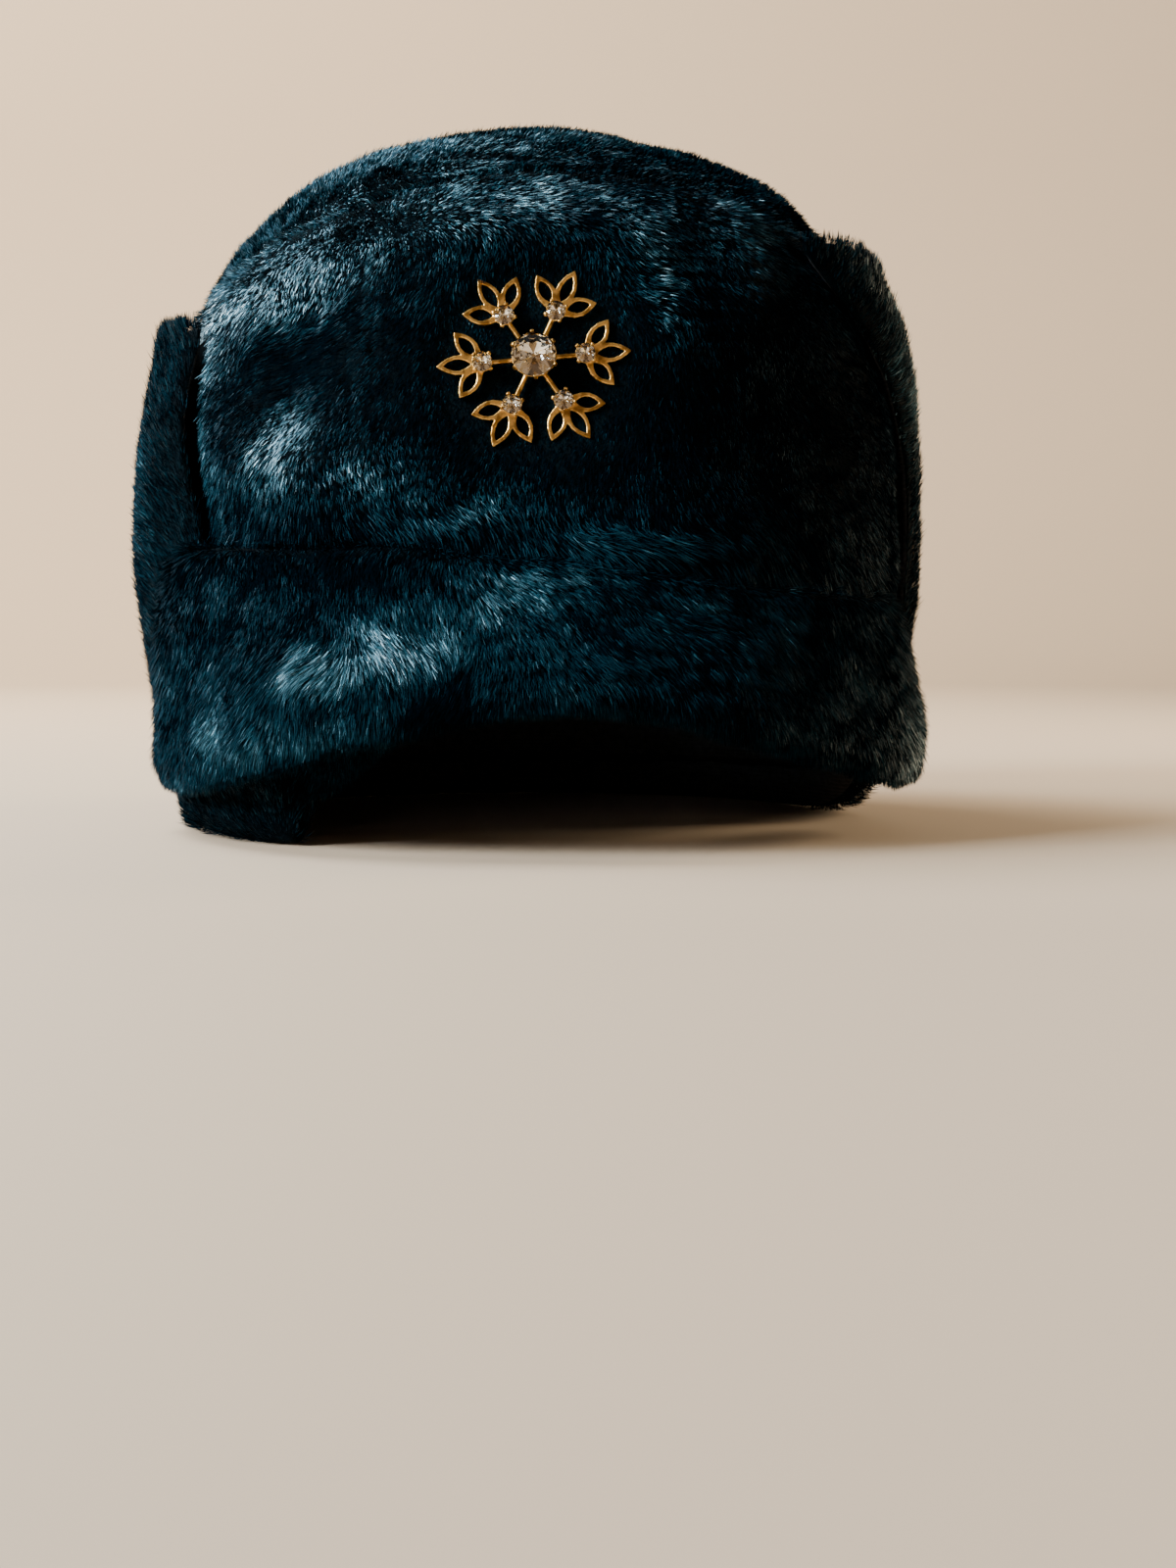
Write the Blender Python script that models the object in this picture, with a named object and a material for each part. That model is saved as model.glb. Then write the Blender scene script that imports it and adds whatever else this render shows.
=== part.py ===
"""A plush pillbox hat with a front brim, a tall turned-up cuff and a snowflake brooch.

Metres, +Z up. The hat rests on the fold of its cuff at z = 0 and its front faces -Y.
An azimuth is measured round the hat's axis in degrees: 0 at the front, positive towards +X.
"""

import math
from collections import namedtuple

import bmesh
import bpy
from mathutils import Matrix, Vector

# Crown
CROWN_WIDTH = 0.1945
CROWN_DEPTH = 0.212
CROWN_HEIGHT = 0.188
CLOTH_WALL = 0.003
CROWN_ROUNDNESS = 2.2
CROWN_RIM_BACK = 0.012
CROWN_RIM_RISE = 0.030
TIP_HEIGHT = 0.030
FRONT_BLEND = 0.35  # cosine either side of the widest place where the front's depth becomes the back's
RELIEF_FADE = 0.45  # side share of a section below which bulges and dents fade out
NORMAL_STEP = 0.05  # step along the table of sections for a surface direction
TIP_CENTRE = 0.6  # distance along the table of sections from the tip's last ring to its middle

# Cuff
CUFF_HEIGHT = 0.134
CUFF_THICKNESS = 0.006
CUFF_PUFF = 0.0066
CUFF_LEFT_END = -64.0
CUFF_RIGHT_END = 79.0
CUFF_LEFT_REACH = 20.0
CUFF_RIGHT_REACH = 38.0
CUFF_SKEW = 60.0  # degrees behind an end over which one of its corners comes to reach forward
CUFF_LEFT_TOP = 0.60  # shares of the cuff's height between which its lower left corner reaches forward
CUFF_LEFT_FOOT = 0.10
CUFF_RIGHT_FOOT = 0.70  # shares of its height between which its upper right corner reaches forward
CUFF_RIGHT_TOP = 1.16
CUFF_FOLD_CORNER = 0.005
PRESS_AZIMUTH = 86.0  # where the cuff starts to be pressed to the crown, on its way to the front
PRESS_FULL_AZIMUTH = 64.0
PRESS_TOP = 0.86  # shares of the cuff's height between which the pressing comes in
PRESS_FOOT = 0.44
PRESS_SHARE = 0.90
END_TAPER = (0.45, 0.86)  # thickness shares of the first two sections at a cloth edge

# Brim
BRIM_THICKNESS = 0.005
BRIM_HEIGHT = 0.081
BRIM_FLARE = 0.011
BRIM_ON_CROWN = 22.0  # azimuth up to which the brim lies on the crown
BRIM_ON_CUFF = 60.0  # azimuth from which it lies on the cuff's end
BRIM_EDGE_ROW = 0.4  # share of a row at which one more row rounds each edge

# Brooch
BROOCH_AZIMUTH = -7.0
BROOCH_HEIGHT = 0.119
BROOCH_FACING = -8.0
BROOCH_LIFT = 6.0
BROOCH_TURN = 5.0
SEAT_SINK = 0.004
SEAT_FLAT = 0.0260
SEAT_BLEND = 0.020
ARMS = 6
ARM_REACH = 0.0124
SPOKE_RADIUS = 0.0007
SPOKE_LEVEL = 0.62  # share of the plate's thickness
PLATE_THICKNESS = 0.0011
PLATE_FOOT = 0.1  # how far the plate stands off the brooch's back, in thicknesses
MIDDLE_LEAF_LENGTH = 0.0111
SIDE_LEAF_LENGTH = 0.0101
LEAF_WIDTH = 0.0048
LEAF_WIRE = 0.0010
LEAF_SPREAD = 52.0
CENTRE_STONE = 0.0106
SMALL_STONE = 0.0047
SETTING_WALL = 0.0006
CUP_FOOT = 0.25
CUP_WAIST = 0.46  # foot radius of a cup as a share of its stone's
SMALL_CLAWS = 4
CENTRE_CLAWS = 6
CENTRE_SETTING_HEIGHT = 0.0054
SMALL_SETTING_HEIGHT = 0.0024
PIN_RADIUS = 0.0005
PIN_CLEARANCE = 0.0004

# Fits and fineness
SEAT_GAP = 0.0003
LAYER_GAP = 0.0015
STONE_GAP = 0.0002
CROWN_SIDES = 60
SIDE_RINGS = 13
TIP_RINGS = 4
CUFF_STEPS = 30
BRIM_STEPS = 29
BRIM_ROWS = 8

# Each row is a level of the crown: its height as a share of CROWN_HEIGHT, the side as a share of half
# the width, and the front and back as shares of half the depth.
CrownSection = namedtuple("CrownSection", "height side front back")
CROWN_SECTIONS = (
    CrownSection(0.055, 0.890, 0.922, 0.930),
    CrownSection(0.215, 0.946, 0.944, 0.970),
    CrownSection(0.375, 0.978, 0.960, 0.988),
    CrownSection(0.480, 0.984, 0.962, 0.994),
    CrownSection(0.610, 0.972, 0.936, 0.976),
    CrownSection(0.715, 0.930, 0.890, 0.925),
    CrownSection(0.785, 0.866, 0.832, 0.860),
    CrownSection(0.845, 0.785, 0.765, 0.784),
    CrownSection(0.895, 0.682, 0.668, 0.684),
    CrownSection(0.937, 0.550, 0.543, 0.551),
    CrownSection(0.970, 0.400, 0.394, 0.398),
    CrownSection(0.992, 0.220, 0.216, 0.218),
    CrownSection(1.000, 0.000, 0.000, 0.000),
)

# Each row is a soft bulge or, with a negative rise, a dent in the crown. The azimuth and its spread
# are degrees, the heights are shares of CROWN_HEIGHT, the slant is height share gained for each
# degree, and the rise is a share of half the crown's width.
Relief = namedtuple("Relief", "azimuth height spread tall slant rise")
CROWN_RELIEF = (
    Relief(-8.0, 0.800, 32.0, 0.040, 0.0000, 0.050),  # ledge of the tip over the brooch
    Relief(-42.0, 0.490, 19.0, 0.062, -0.0028, 0.088),  # roll over the brim, left
    Relief(12.0, 0.425, 26.0, 0.055, -0.0012, 0.066),  # roll over the brim, right
    Relief(-44.0, 0.630, 7.0, 0.080, 0.0000, -0.055),  # upright valley left of the brooch
    Relief(-58.0, 0.690, 9.0, 0.120, 0.0000, 0.035),  # swelling behind that valley
    Relief(16.5, 0.795, 3.6, 0.050, 0.0000, -0.050),  # tuck above the brooch
    Relief(38.5, 0.780, 3.6, 0.045, 0.0000, -0.050),  # tuck on the right
    Relief(40.0, 0.590, 17.0, 0.090, 0.0000, -0.030),  # hollow right of the brooch
    Relief(86.0, 0.460, 28.0, 0.320, 0.0000, 0.048),  # fullness of the right side
    Relief(90.0, 0.270, 26.0, 0.140, 0.0000, 0.028),  # fullness low on the right
    Relief(72.0, 0.780, 28.0, 0.090, 0.0000, 0.042),  # fullness of the right shoulder
    Relief(56.0, 0.905, 20.0, 0.055, 0.0000, 0.040),  # fullness over the cuff's right corner
    Relief(-63.0, 0.430, 7.0, 0.060, 0.0000, -0.030),  # notch over the brim's left corner
    Relief(-100.0, 0.790, 24.0, 0.070, 0.0000, 0.042),  # fullness of the left shoulder
    Relief(-96.0, 0.790, 3.6, 0.045, 0.0000, -0.040),  # tuck on the left
    Relief(152.0, 0.840, 16.0, 0.050, 0.0015, -0.030),  # soft dent at the back
    Relief(-140.0, 0.800, 14.0, 0.060, -0.0010, -0.030),  # soft dent at the left of the back
)

# Each row is a place round the crown: its azimuth, how far its lower edge has risen from the back's
# height as a share of CROWN_RIM_RISE, and the tip's height over its seam as a share of TIP_HEIGHT.
CrownEdge = namedtuple("CrownEdge", "azimuth rise tip")
CROWN_EDGES = (
    CrownEdge(-180.0, 0.00, 1.00),
    CrownEdge(-140.0, 0.00, 1.30),
    CrownEdge(-105.0, 0.00, 1.60),
    CrownEdge(-78.0, 0.00, 1.60),
    CrownEdge(-40.0, 0.00, 0.94),
    CrownEdge(-22.0, 0.75, 0.72),
    CrownEdge(0.0, 1.00, 0.64),
    CrownEdge(25.0, 0.85, 0.78),
    CrownEdge(50.0, 0.66, 1.05),
    CrownEdge(75.0, 0.40, 1.25),
    CrownEdge(95.0, 0.07, 1.25),
    CrownEdge(115.0, 0.00, 1.25),
    CrownEdge(140.0, 0.00, 1.15),
    CrownEdge(180.0, 0.00, 1.00),
)

# Each row is a height over the floor, a share of the cuff's own height there, and how far the cuff
# stands off the crown, a share of CUFF_PUFF.
CuffSection = namedtuple("CuffSection", "height puff")
CUFF_SECTIONS = (
    CuffSection(0.00, 0.15),
    CuffSection(0.10, 0.30),
    CuffSection(0.26, 0.66),
    CuffSection(0.48, 0.78),
    CuffSection(0.62, 0.72),
    CuffSection(0.74, 0.66),
    CuffSection(0.86, 0.44),
    CuffSection(0.95, 0.16),
    CuffSection(1.05, 0.05),
    CuffSection(1.40, 0.05),
)

# Shares of the cuff's height at which its inner and outer faces have points.
CUFF_LEVELS = (0.11, 0.22, 0.34, 0.48, 0.62, 0.76, 0.88, 0.965)

# The rounded upper edge of the cuff: how far across its thickness and, in whole thicknesses, below
# the top each point lies.
CuffLip = namedtuple("CuffLip", "across below")
CUFF_LIP = (CuffLip(0.18, 0.20), CuffLip(0.50, 0.00), CuffLip(0.82, 0.20))

# The rounded outside of the cuff's lower fold: inwards and up, in shares of its corner.
CuffCorner = namedtuple("CuffCorner", "inward up")
CUFF_CORNER = (CuffCorner(0.1, 1.0), CuffCorner(0.6, 0.3), CuffCorner(1.3, 0.0))

# Each row is a place along the top of the cuff: its azimuth, its height as a share of CUFF_HEIGHT, and
# how much of the puff the cuff has there.
CuffTop = namedtuple("CuffTop", "azimuth height puff")
CUFF_TOPS = (
    CuffTop(0.0, 1.10, 0.05),
    CuffTop(45.0, 1.13, 0.05),
    CuffTop(62.0, 1.145, 0.20),
    CuffTop(80.0, 1.15, 0.60),
    CuffTop(95.0, 1.15, 1.05),
    CuffTop(120.0, 1.12, 0.95),
    CuffTop(150.0, 1.07, 1.00),
    CuffTop(180.0, 1.04, 1.00),
    CuffTop(230.0, 1.00, 1.00),
    CuffTop(275.0, 1.01, 1.00),
    CuffTop(296.0, 0.985, 1.00),
    CuffTop(360.0, 1.10, 0.05),
)

# Each row is a level of the brim: the share of the way down, the azimuths that its left and right
# edges reach, its flare as a share of BRIM_FLARE, and its thickness as a share of BRIM_THICKNESS.
BrimSection = namedtuple("BrimSection", "drop left right flare full")
BRIM_SECTIONS = (
    BrimSection(0.00, -61.0, 49.0, 0.00, 0.55),
    BrimSection(0.10, -64.5, 52.0, 0.08, 0.90),
    BrimSection(0.30, -66.5, 54.0, 0.30, 1.00),
    BrimSection(0.55, -70.0, 58.0, 0.62, 1.00),
    BrimSection(0.75, -76.0, 65.0, 0.88, 1.00),
    BrimSection(0.90, -82.0, 72.0, 1.00, 1.00),
    BrimSection(0.97, -83.0, 72.0, 0.98, 0.90),
    BrimSection(1.00, -79.0, 67.0, 0.92, 0.50),
)

# Each row is a place along the brim: its azimuth, the heights of its upper and lower edge as shares
# of BRIM_HEIGHT, and how much of the flare it has.
BrimEdge = namedtuple("BrimEdge", "azimuth top bottom flare")
BRIM_EDGES = (
    BrimEdge(-95.0, 0.91, 0.180, 0.02),
    BrimEdge(-75.0, 0.91, 0.165, 0.10),
    BrimEdge(-58.0, 0.91, 0.190, 0.45),
    BrimEdge(-40.0, 0.91, 0.262, 0.85),
    BrimEdge(-25.0, 0.90, 0.365, 1.00),
    BrimEdge(-8.0, 0.86, 0.440, 1.00),
    BrimEdge(5.0, 0.83, 0.435, 0.95),
    BrimEdge(22.0, 0.79, 0.340, 0.90),
    BrimEdge(38.0, 0.77, 0.243, 0.75),
    BrimEdge(55.0, 0.77, 0.178, 0.50),
    BrimEdge(68.0, 0.77, 0.200, 0.14),
    BrimEdge(90.0, 0.77, 0.240, 0.05),
)

# Each row is a soft flute down the brim: the azimuth, the share of the way down, both spreads, and
# the rise as a share of BRIM_FLARE.
Flute = namedtuple("Flute", "azimuth drop spread tall rise")
BRIM_FLUTES = (
    Flute(-33.0, 0.66, 11.0, 0.24, 0.34),
    Flute(-19.0, 0.90, 5.0, 0.30, -0.30),
    Flute(-6.0, 0.62, 8.0, 0.30, 0.20),
    Flute(14.0, 0.80, 9.0, 0.26, 0.14),
    Flute(42.0, 0.55, 10.0, 0.30, -0.16),
)

# Shares of a leaf's length at which its outline has a point, from its tip back to its setting.
LEAF_STEPS = (0.90, 0.76, 0.60)
LEAF_ROOT_STEPS = (0.42, 0.20)
OPENING_SIDES = 10
SMALL_CUP_SIDES = 10
CENTRE_CUP_SIDES = 14

# The rings of a cut stone: radius and height over the girdle's lower edge as shares of the stone's
# radius, sides, and turn in steps.
StoneRing = namedtuple("StoneRing", "radius height sides turn")
STONE_RINGS = (
    StoneRing(0.58, 0.41, 8, 0.0),
    StoneRing(0.82, 0.27, 8, 0.5),
    StoneRing(1.00, 0.08, 8, 0.0),
    StoneRing(1.00, 0.00, 8, 0.0),
    StoneRing(0.52, -0.39, 8, 0.5),
    StoneRing(0.12, -0.67, 8, 0.0),
)

Finish = namedtuple("Finish", "colour roughness metallic")
PLUSH = Finish((0.006, 0.022, 0.030, 1.0), 0.75, 0.0)
GILT = Finish((0.78, 0.50, 0.18, 1.0), 0.30, 1.0)
RHINESTONE = Finish((0.92, 0.90, 0.82, 1.0), 0.05, 0.0)


def smooth_step(start, end, value):
    """0 before start, 1 after end and smooth between them; start may be the larger."""
    share = min(1.0, max(0.0, (value - start) / (end - start)))
    return share * share * (3.0 - 2.0 * share)


def bell(value, spread):
    """1 at zero, falling off smoothly over the spread on both sides."""
    return math.exp(-((value / spread) ** 2))


def angle_between(first, second):
    """The signed difference of two azimuths, from -180 to 180 degrees."""
    return (first - second + 180.0) % 360.0 - 180.0


def between_rows(rows, place):
    """The row at a place that may lie between two rows, on a Catmull-Rom curve through all of them."""
    place = min(max(place, 0.0), len(rows) - 1.0)
    index = min(int(place), len(rows) - 2)
    t = place - index
    before, start = rows[max(index - 1, 0)], rows[index]
    end, after = rows[index + 1], rows[min(index + 2, len(rows) - 1)]
    values = []
    for a, b, c, d in zip(before, start, end, after):
        slope_in, slope_out = (c - a) / 2.0, (d - b) / 2.0
        rest = 3.0 * (c - b) - 2.0 * slope_in - slope_out
        turn = 2.0 * (b - c) + slope_in + slope_out
        values.append(b + slope_in * t + rest * t * t + turn * t**3)
    return type(start)(*values)


def place_of(rows, key, value):
    """The place in the rows where their rising column has a value, found by halving."""
    low, high = 0.0, len(rows) - 1.0
    for _ in range(28):
        middle = (low + high) / 2.0
        if getattr(between_rows(rows, middle), key) < value:
            low = middle
        else:
            high = middle
    return (low + high) / 2.0


def row_at(rows, key, value):
    """The interpolated row where the rising column has a value."""
    return between_rows(rows, place_of(rows, key, value))


def polar(azimuth, radius, height):
    """The point at an azimuth, a distance from the hat's axis and a height."""
    angle = math.radians(azimuth)
    return Vector((radius * math.sin(angle), -radius * math.cos(angle), height))


def crown_relief(azimuth, height_share):
    """How far bulges and dents move the crown's wall outwards there."""
    total = 0.0
    for row in CROWN_RELIEF:
        across = angle_between(azimuth, row.azimuth)
        up = height_share - row.height - row.slant * across
        total += row.rise * bell(across, row.spread) * bell(up, row.tall)
    return total * CROWN_WIDTH / 2.0


def crown_level(azimuth, section):
    """Radius of the crown's outer face on one level, before the brooch's seat."""
    angle = math.radians(azimuth)
    front = smooth_step(-FRONT_BLEND, FRONT_BLEND, math.cos(angle))
    half_width = section.side * CROWN_WIDTH / 2.0
    half_depth = (section.back + (section.front - section.back) * front) * CROWN_DEPTH / 2.0
    if half_width <= 0.0 or half_depth <= 0.0:
        return 0.0
    power = CROWN_ROUNDNESS
    reach = abs(math.sin(angle) / half_width) ** power + abs(math.cos(angle) / half_depth) ** power
    fade = smooth_step(0.0, RELIEF_FADE, section.side)
    return reach ** (-1.0 / power) + crown_relief(azimuth, section.height) * fade


def crown_radius(azimuth, height):
    """Radius of the crown's outer face at a height."""
    return crown_level(azimuth, row_at(CROWN_SECTIONS, "height", height / CROWN_HEIGHT))


def crown_rim(azimuth):
    """Height of the crown's lower edge, which rises behind the brim."""
    rise = row_at(CROWN_EDGES, "azimuth", angle_between(azimuth, 0.0)).rise
    return CROWN_RIM_BACK + CROWN_RIM_RISE * max(rise, 0.0)


def crown_seam(azimuth):
    """Height of the seam between the crown's side and its tip."""
    return CROWN_HEIGHT - TIP_HEIGHT * row_at(CROWN_EDGES, "azimuth", angle_between(azimuth, 0.0)).tip


def seat_frame():
    """The brooch's frame on the crown: X right, Y up, Z out of the front, at the middle of its seat."""
    turn, lift = math.radians(BROOCH_FACING), math.radians(BROOCH_LIFT)
    out = Vector((math.sin(turn) * math.cos(lift), -math.cos(turn) * math.cos(lift), math.sin(lift)))
    right = Vector((0.0, 0.0, 1.0)).cross(out).normalized()
    up = out.cross(right)
    middle = polar(BROOCH_AZIMUTH, crown_radius(BROOCH_AZIMUTH, BROOCH_HEIGHT), BROOCH_HEIGHT)
    frame = Matrix((right, up, out)).transposed().to_4x4()
    frame.translation = middle - out * SEAT_SINK
    return frame


def crown_point(azimuth, place, seat):
    """A point of the crown's outer face at a place in its table of sections, flattened at the seat."""
    section = between_rows(CROWN_SECTIONS, place)
    point = polar(azimuth, crown_level(azimuth, section), section.height * CROWN_HEIGHT)
    local = seat.inverted() @ point
    aside = Vector((local.x, local.y)).length
    if local.z > -CROWN_DEPTH / 4.0:
        local.z *= 1.0 - smooth_step(SEAT_FLAT + SEAT_BLEND, SEAT_FLAT, aside)
    return seat @ local


def crown_normal(azimuth, place, seat):
    """The direction out of the crown's outer face."""
    last = len(CROWN_SECTIONS) - 1.0
    low, high = max(place - NORMAL_STEP, 0.0), min(place + NORMAL_STEP, last)
    up = crown_point(azimuth, high, seat) - crown_point(azimuth, low, seat)
    along = crown_point(azimuth + 1.0, place, seat) - crown_point(azimuth - 1.0, place, seat)
    return along.cross(up).normalized()


def make_object(name, mesh_data, finish):
    """A linked object with a mesh and a material of its own."""
    thing = bpy.data.objects.new(name, mesh_data)
    bpy.context.scene.collection.objects.link(thing)
    material = bpy.data.materials.new(name)
    material.use_nodes = True
    shader = material.node_tree.nodes["Principled BSDF"]
    shader.inputs["Base Color"].default_value = finish.colour
    shader.inputs["Roughness"].default_value = finish.roughness
    shader.inputs["Metallic"].default_value = finish.metallic
    thing.data.materials.append(material)
    thing.data.shade_smooth()
    thing.data.set_sharp_from_angle(angle=math.radians(40.0))
    return thing


def mesh_from(bm, name):
    """Turns a closed bmesh's faces outwards, triangulates it and returns it as a mesh."""
    bmesh.ops.recalc_face_normals(bm, faces=bm.faces)
    bmesh.ops.triangulate(bm, faces=bm.faces)
    if bm.calc_volume(signed=True) < 0.0:
        bmesh.ops.reverse_faces(bm, faces=bm.faces)
    mesh = bpy.data.meshes.new(name)
    bm.to_mesh(mesh)
    bm.free()
    return mesh


def join_rings(bm, first, second, closed=True):
    """Quads between two rings of vertices with the same count."""
    count = len(first)
    for i in range(count if closed else count - 1):
        j = (i + 1) % count
        bm.faces.new((first[i], first[j], second[j], second[i]))


def crown_place(height):
    """The place in the table of sections of a height."""
    return place_of(CROWN_SECTIONS, "height", height / CROWN_HEIGHT)


def crown_rings(first, last, count, seat):
    """Outer and inner rings of the crown's wall; first and last give the place at each azimuth."""
    azimuths = [360.0 * i / CROWN_SIDES for i in range(CROWN_SIDES)]
    starts, ends = [first(a) for a in azimuths], [last(a) for a in azimuths]
    outer, inner = [], []
    for ring in range(count + 1):
        places = [start + (end - start) * ring / count for start, end in zip(starts, ends)]
        points = [crown_point(a, place, seat) for a, place in zip(azimuths, places)]
        normals = [crown_normal(a, place, seat) for a, place in zip(azimuths, places)]
        outer.append(points)
        inner.append([point - normal * CLOTH_WALL for point, normal in zip(points, normals)])
    return outer, inner


def wall_between(bm, outer, inner):
    """Fills the two faces of a wall and its lowest edge, and returns the last rings' vertices."""
    rings_out = [[bm.verts.new(point) for point in ring] for ring in outer]
    rings_in = [[bm.verts.new(point) for point in ring] for ring in inner]
    for rings in (rings_out, rings_in):
        for lower, upper in zip(rings, rings[1:]):
            join_rings(bm, lower, upper)
    join_rings(bm, rings_out[0], rings_in[0])
    return rings_out[-1], rings_in[-1]


def make_crown_side():
    """The side band: a hollow wall from its lower edge to the tip's seam, pierced by the brooch's pin."""
    seat = seat_frame()
    outer, inner = crown_rings(
        lambda a: crown_place(crown_rim(a)), lambda a: crown_place(crown_seam(a)), SIDE_RINGS, seat
    )
    for point, edge in zip(inner[0], outer[0]):
        point.z = edge.z
    bm = bmesh.new()
    top_out, top_in = wall_between(bm, outer, inner)
    join_rings(bm, top_out, top_in)
    side = make_object("crown_side", mesh_from(bm, "crown_side"), PLUSH)
    for end in (-1.0, 1.0):
        hole = pin_hole(end)
        cut(side, hole)
        bpy.data.objects.remove(hole)
    return side


def make_crown_tip():
    """The domed tip over the side band."""
    top = len(CROWN_SECTIONS) - 1.0 - TIP_CENTRE
    outer, inner = crown_rings(
        lambda a: crown_place(crown_seam(a) + SEAT_GAP), lambda a: top, TIP_RINGS, seat_frame()
    )
    bm = bmesh.new()
    top_out, top_in = wall_between(bm, outer, inner)
    for ring, height in ((top_out, CROWN_HEIGHT), (top_in, CROWN_HEIGHT - CLOTH_WALL)):
        apex = bm.verts.new((0.0, 0.0, height))
        for i in range(CROWN_SIDES):
            bm.faces.new((ring[i], ring[(i + 1) % CROWN_SIDES], apex))
    return make_object("crown_tip", mesh_from(bm, "crown_tip"), PLUSH)


def cuff_row(azimuth):
    """The row of the table of the cuff's upper edge at an azimuth."""
    return row_at(CUFF_TOPS, "azimuth", azimuth % 360.0)


def cuff_top(azimuth):
    """Height of the cuff's upper edge."""
    return cuff_row(azimuth).height * CUFF_HEIGHT


def cuff_foot(azimuth):
    """Height of the cuff's lower fold, which rises with the crown's edge that it holds."""
    return crown_rim(azimuth) - CROWN_RIM_BACK


def cuff_press(azimuth, height):
    """1 where the cuff stands free, and less where the brim's corner presses it to the crown."""
    near_end = smooth_step(PRESS_AZIMUTH, PRESS_FULL_AZIMUTH, abs(angle_between(azimuth, 0.0)))
    low = smooth_step(CUFF_HEIGHT * PRESS_TOP, CUFF_HEIGHT * PRESS_FOOT, height)
    return 1.0 - PRESS_SHARE * near_end * low


def cuff_inner(azimuth, height):
    """Radius of the cuff's inner face, clear of the crown."""
    row = cuff_row(azimuth)
    section = row_at(CUFF_SECTIONS, "height", height / (row.height * CUFF_HEIGHT))
    puff = section.puff * row.puff * CUFF_PUFF * cuff_press(azimuth, height)
    return crown_radius(azimuth, height) + LAYER_GAP + puff


def cuff_skew(azimuth, height):
    """How far round to the front a corner of the cuff's end reaches, in degrees."""
    behind_left = angle_between(CUFF_LEFT_END, azimuth)
    behind_right = angle_between(azimuth, CUFF_RIGHT_END)
    if 0.0 <= behind_left < CUFF_SKEW:
        low = smooth_step(CUFF_HEIGHT * CUFF_LEFT_TOP, CUFF_HEIGHT * CUFF_LEFT_FOOT, height)
        return CUFF_LEFT_REACH * low * smooth_step(CUFF_SKEW, 0.0, behind_left)
    if 0.0 <= behind_right < CUFF_SKEW:
        high = smooth_step(CUFF_HEIGHT * CUFF_RIGHT_FOOT, CUFF_HEIGHT * CUFF_RIGHT_TOP, height)
        return -CUFF_RIGHT_REACH * high * smooth_step(CUFF_SKEW, 0.0, behind_right)
    return 0.0


def end_taper(step, steps):
    """The thickness share of a section, less at the first and last two of them."""
    from_end = min(step, steps - step)
    return END_TAPER[from_end] if from_end < len(END_TAPER) else 1.0


def cuff_profile(azimuth, full):
    """The J-shaped section of the cuff as points; full is its thickness share."""
    low_azimuth = azimuth + cuff_skew(azimuth, 0.0)
    top, foot = cuff_top(azimuth), cuff_foot(low_azimuth)
    thick = CUFF_THICKNESS * full
    inner = []
    for level in CUFF_LEVELS:
        height = foot + level * (top - foot)
        turned = azimuth + cuff_skew(azimuth, height)
        inner.append((turned, cuff_inner(turned, height), height))
    outer = [(turned, radius + thick, height) for turned, radius, height in reversed(inner)]
    top_inner, lowest, lowest_inner = inner[-1][1], outer[-1][1], inner[0][1]
    rim = CROWN_RIM_BACK - SEAT_GAP
    hook_out = crown_radius(low_azimuth, crown_rim(low_azimuth))
    hook_in = hook_out - CLOTH_WALL
    corner = min(CUFF_FOLD_CORNER, (lowest - hook_in) * 0.3)
    lip_at = azimuth + cuff_skew(azimuth, top)
    lip = [(lip_at, top_inner + thick * row.across, top - CUFF_THICKNESS * row.below) for row in CUFF_LIP]
    fold = [(lowest - corner * row.inward, corner * row.up) for row in CUFF_CORNER]
    fold += [
        (hook_in + corner, 0.0),
        (hook_in, corner * 0.8),
        (hook_in, rim),
        (hook_out, rim),
        (hook_out, CLOTH_WALL * 2.0),
        ((hook_out + lowest_inner) / 2.0, CLOTH_WALL * 1.4),
    ]
    return inner + lip + outer + [(low_azimuth, radius, foot + height) for radius, height in fold]


def make_cuff():
    """The turned-up cuff from behind one end of the brim round the back to the other."""
    bm = bmesh.new()
    sweep = 360.0 + CUFF_LEFT_END - CUFF_RIGHT_END
    sections = []
    for step in range(CUFF_STEPS + 1):
        azimuth = CUFF_RIGHT_END + sweep * step / CUFF_STEPS
        full = end_taper(step, CUFF_STEPS)
        sections.append([bm.verts.new(polar(*place)) for place in cuff_profile(azimuth, full)])
    for first, second in zip(sections, sections[1:]):
        join_rings(bm, first, second)
    bm.faces.new(sections[0])
    bm.faces.new(sections[-1])
    return make_object("back_cuff", mesh_from(bm, "back_cuff"), PLUSH)


def brim_seam(azimuth):
    """Height of the brim's upper edge, which slants down to the right."""
    return row_at(BRIM_EDGES, "azimuth", azimuth).top * BRIM_HEIGHT


def brim_edge(azimuth):
    """Height of the brim's lower edge."""
    return row_at(BRIM_EDGES, "azimuth", azimuth).bottom * BRIM_HEIGHT


def brim_inner(azimuth, height, flare):
    """Radius of the brim's inner face: over the crown in front, over the cuff's ends at the sides."""
    side = smooth_step(BRIM_ON_CROWN, BRIM_ON_CUFF, abs(azimuth))
    crown = crown_radius(azimuth, height)
    cuff = cuff_inner(azimuth, height) + CUFF_THICKNESS
    share = row_at(BRIM_EDGES, "azimuth", azimuth).flare
    return crown + (cuff - crown) * side + LAYER_GAP + flare * share


def brim_flutes(azimuth, drop):
    """How far the soft flutes push the brim out there."""
    total = 0.0
    for row in BRIM_FLUTES:
        total += row.rise * bell(azimuth - row.azimuth, row.spread) * bell(drop - row.drop, row.tall)
    return total * BRIM_FLARE


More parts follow.
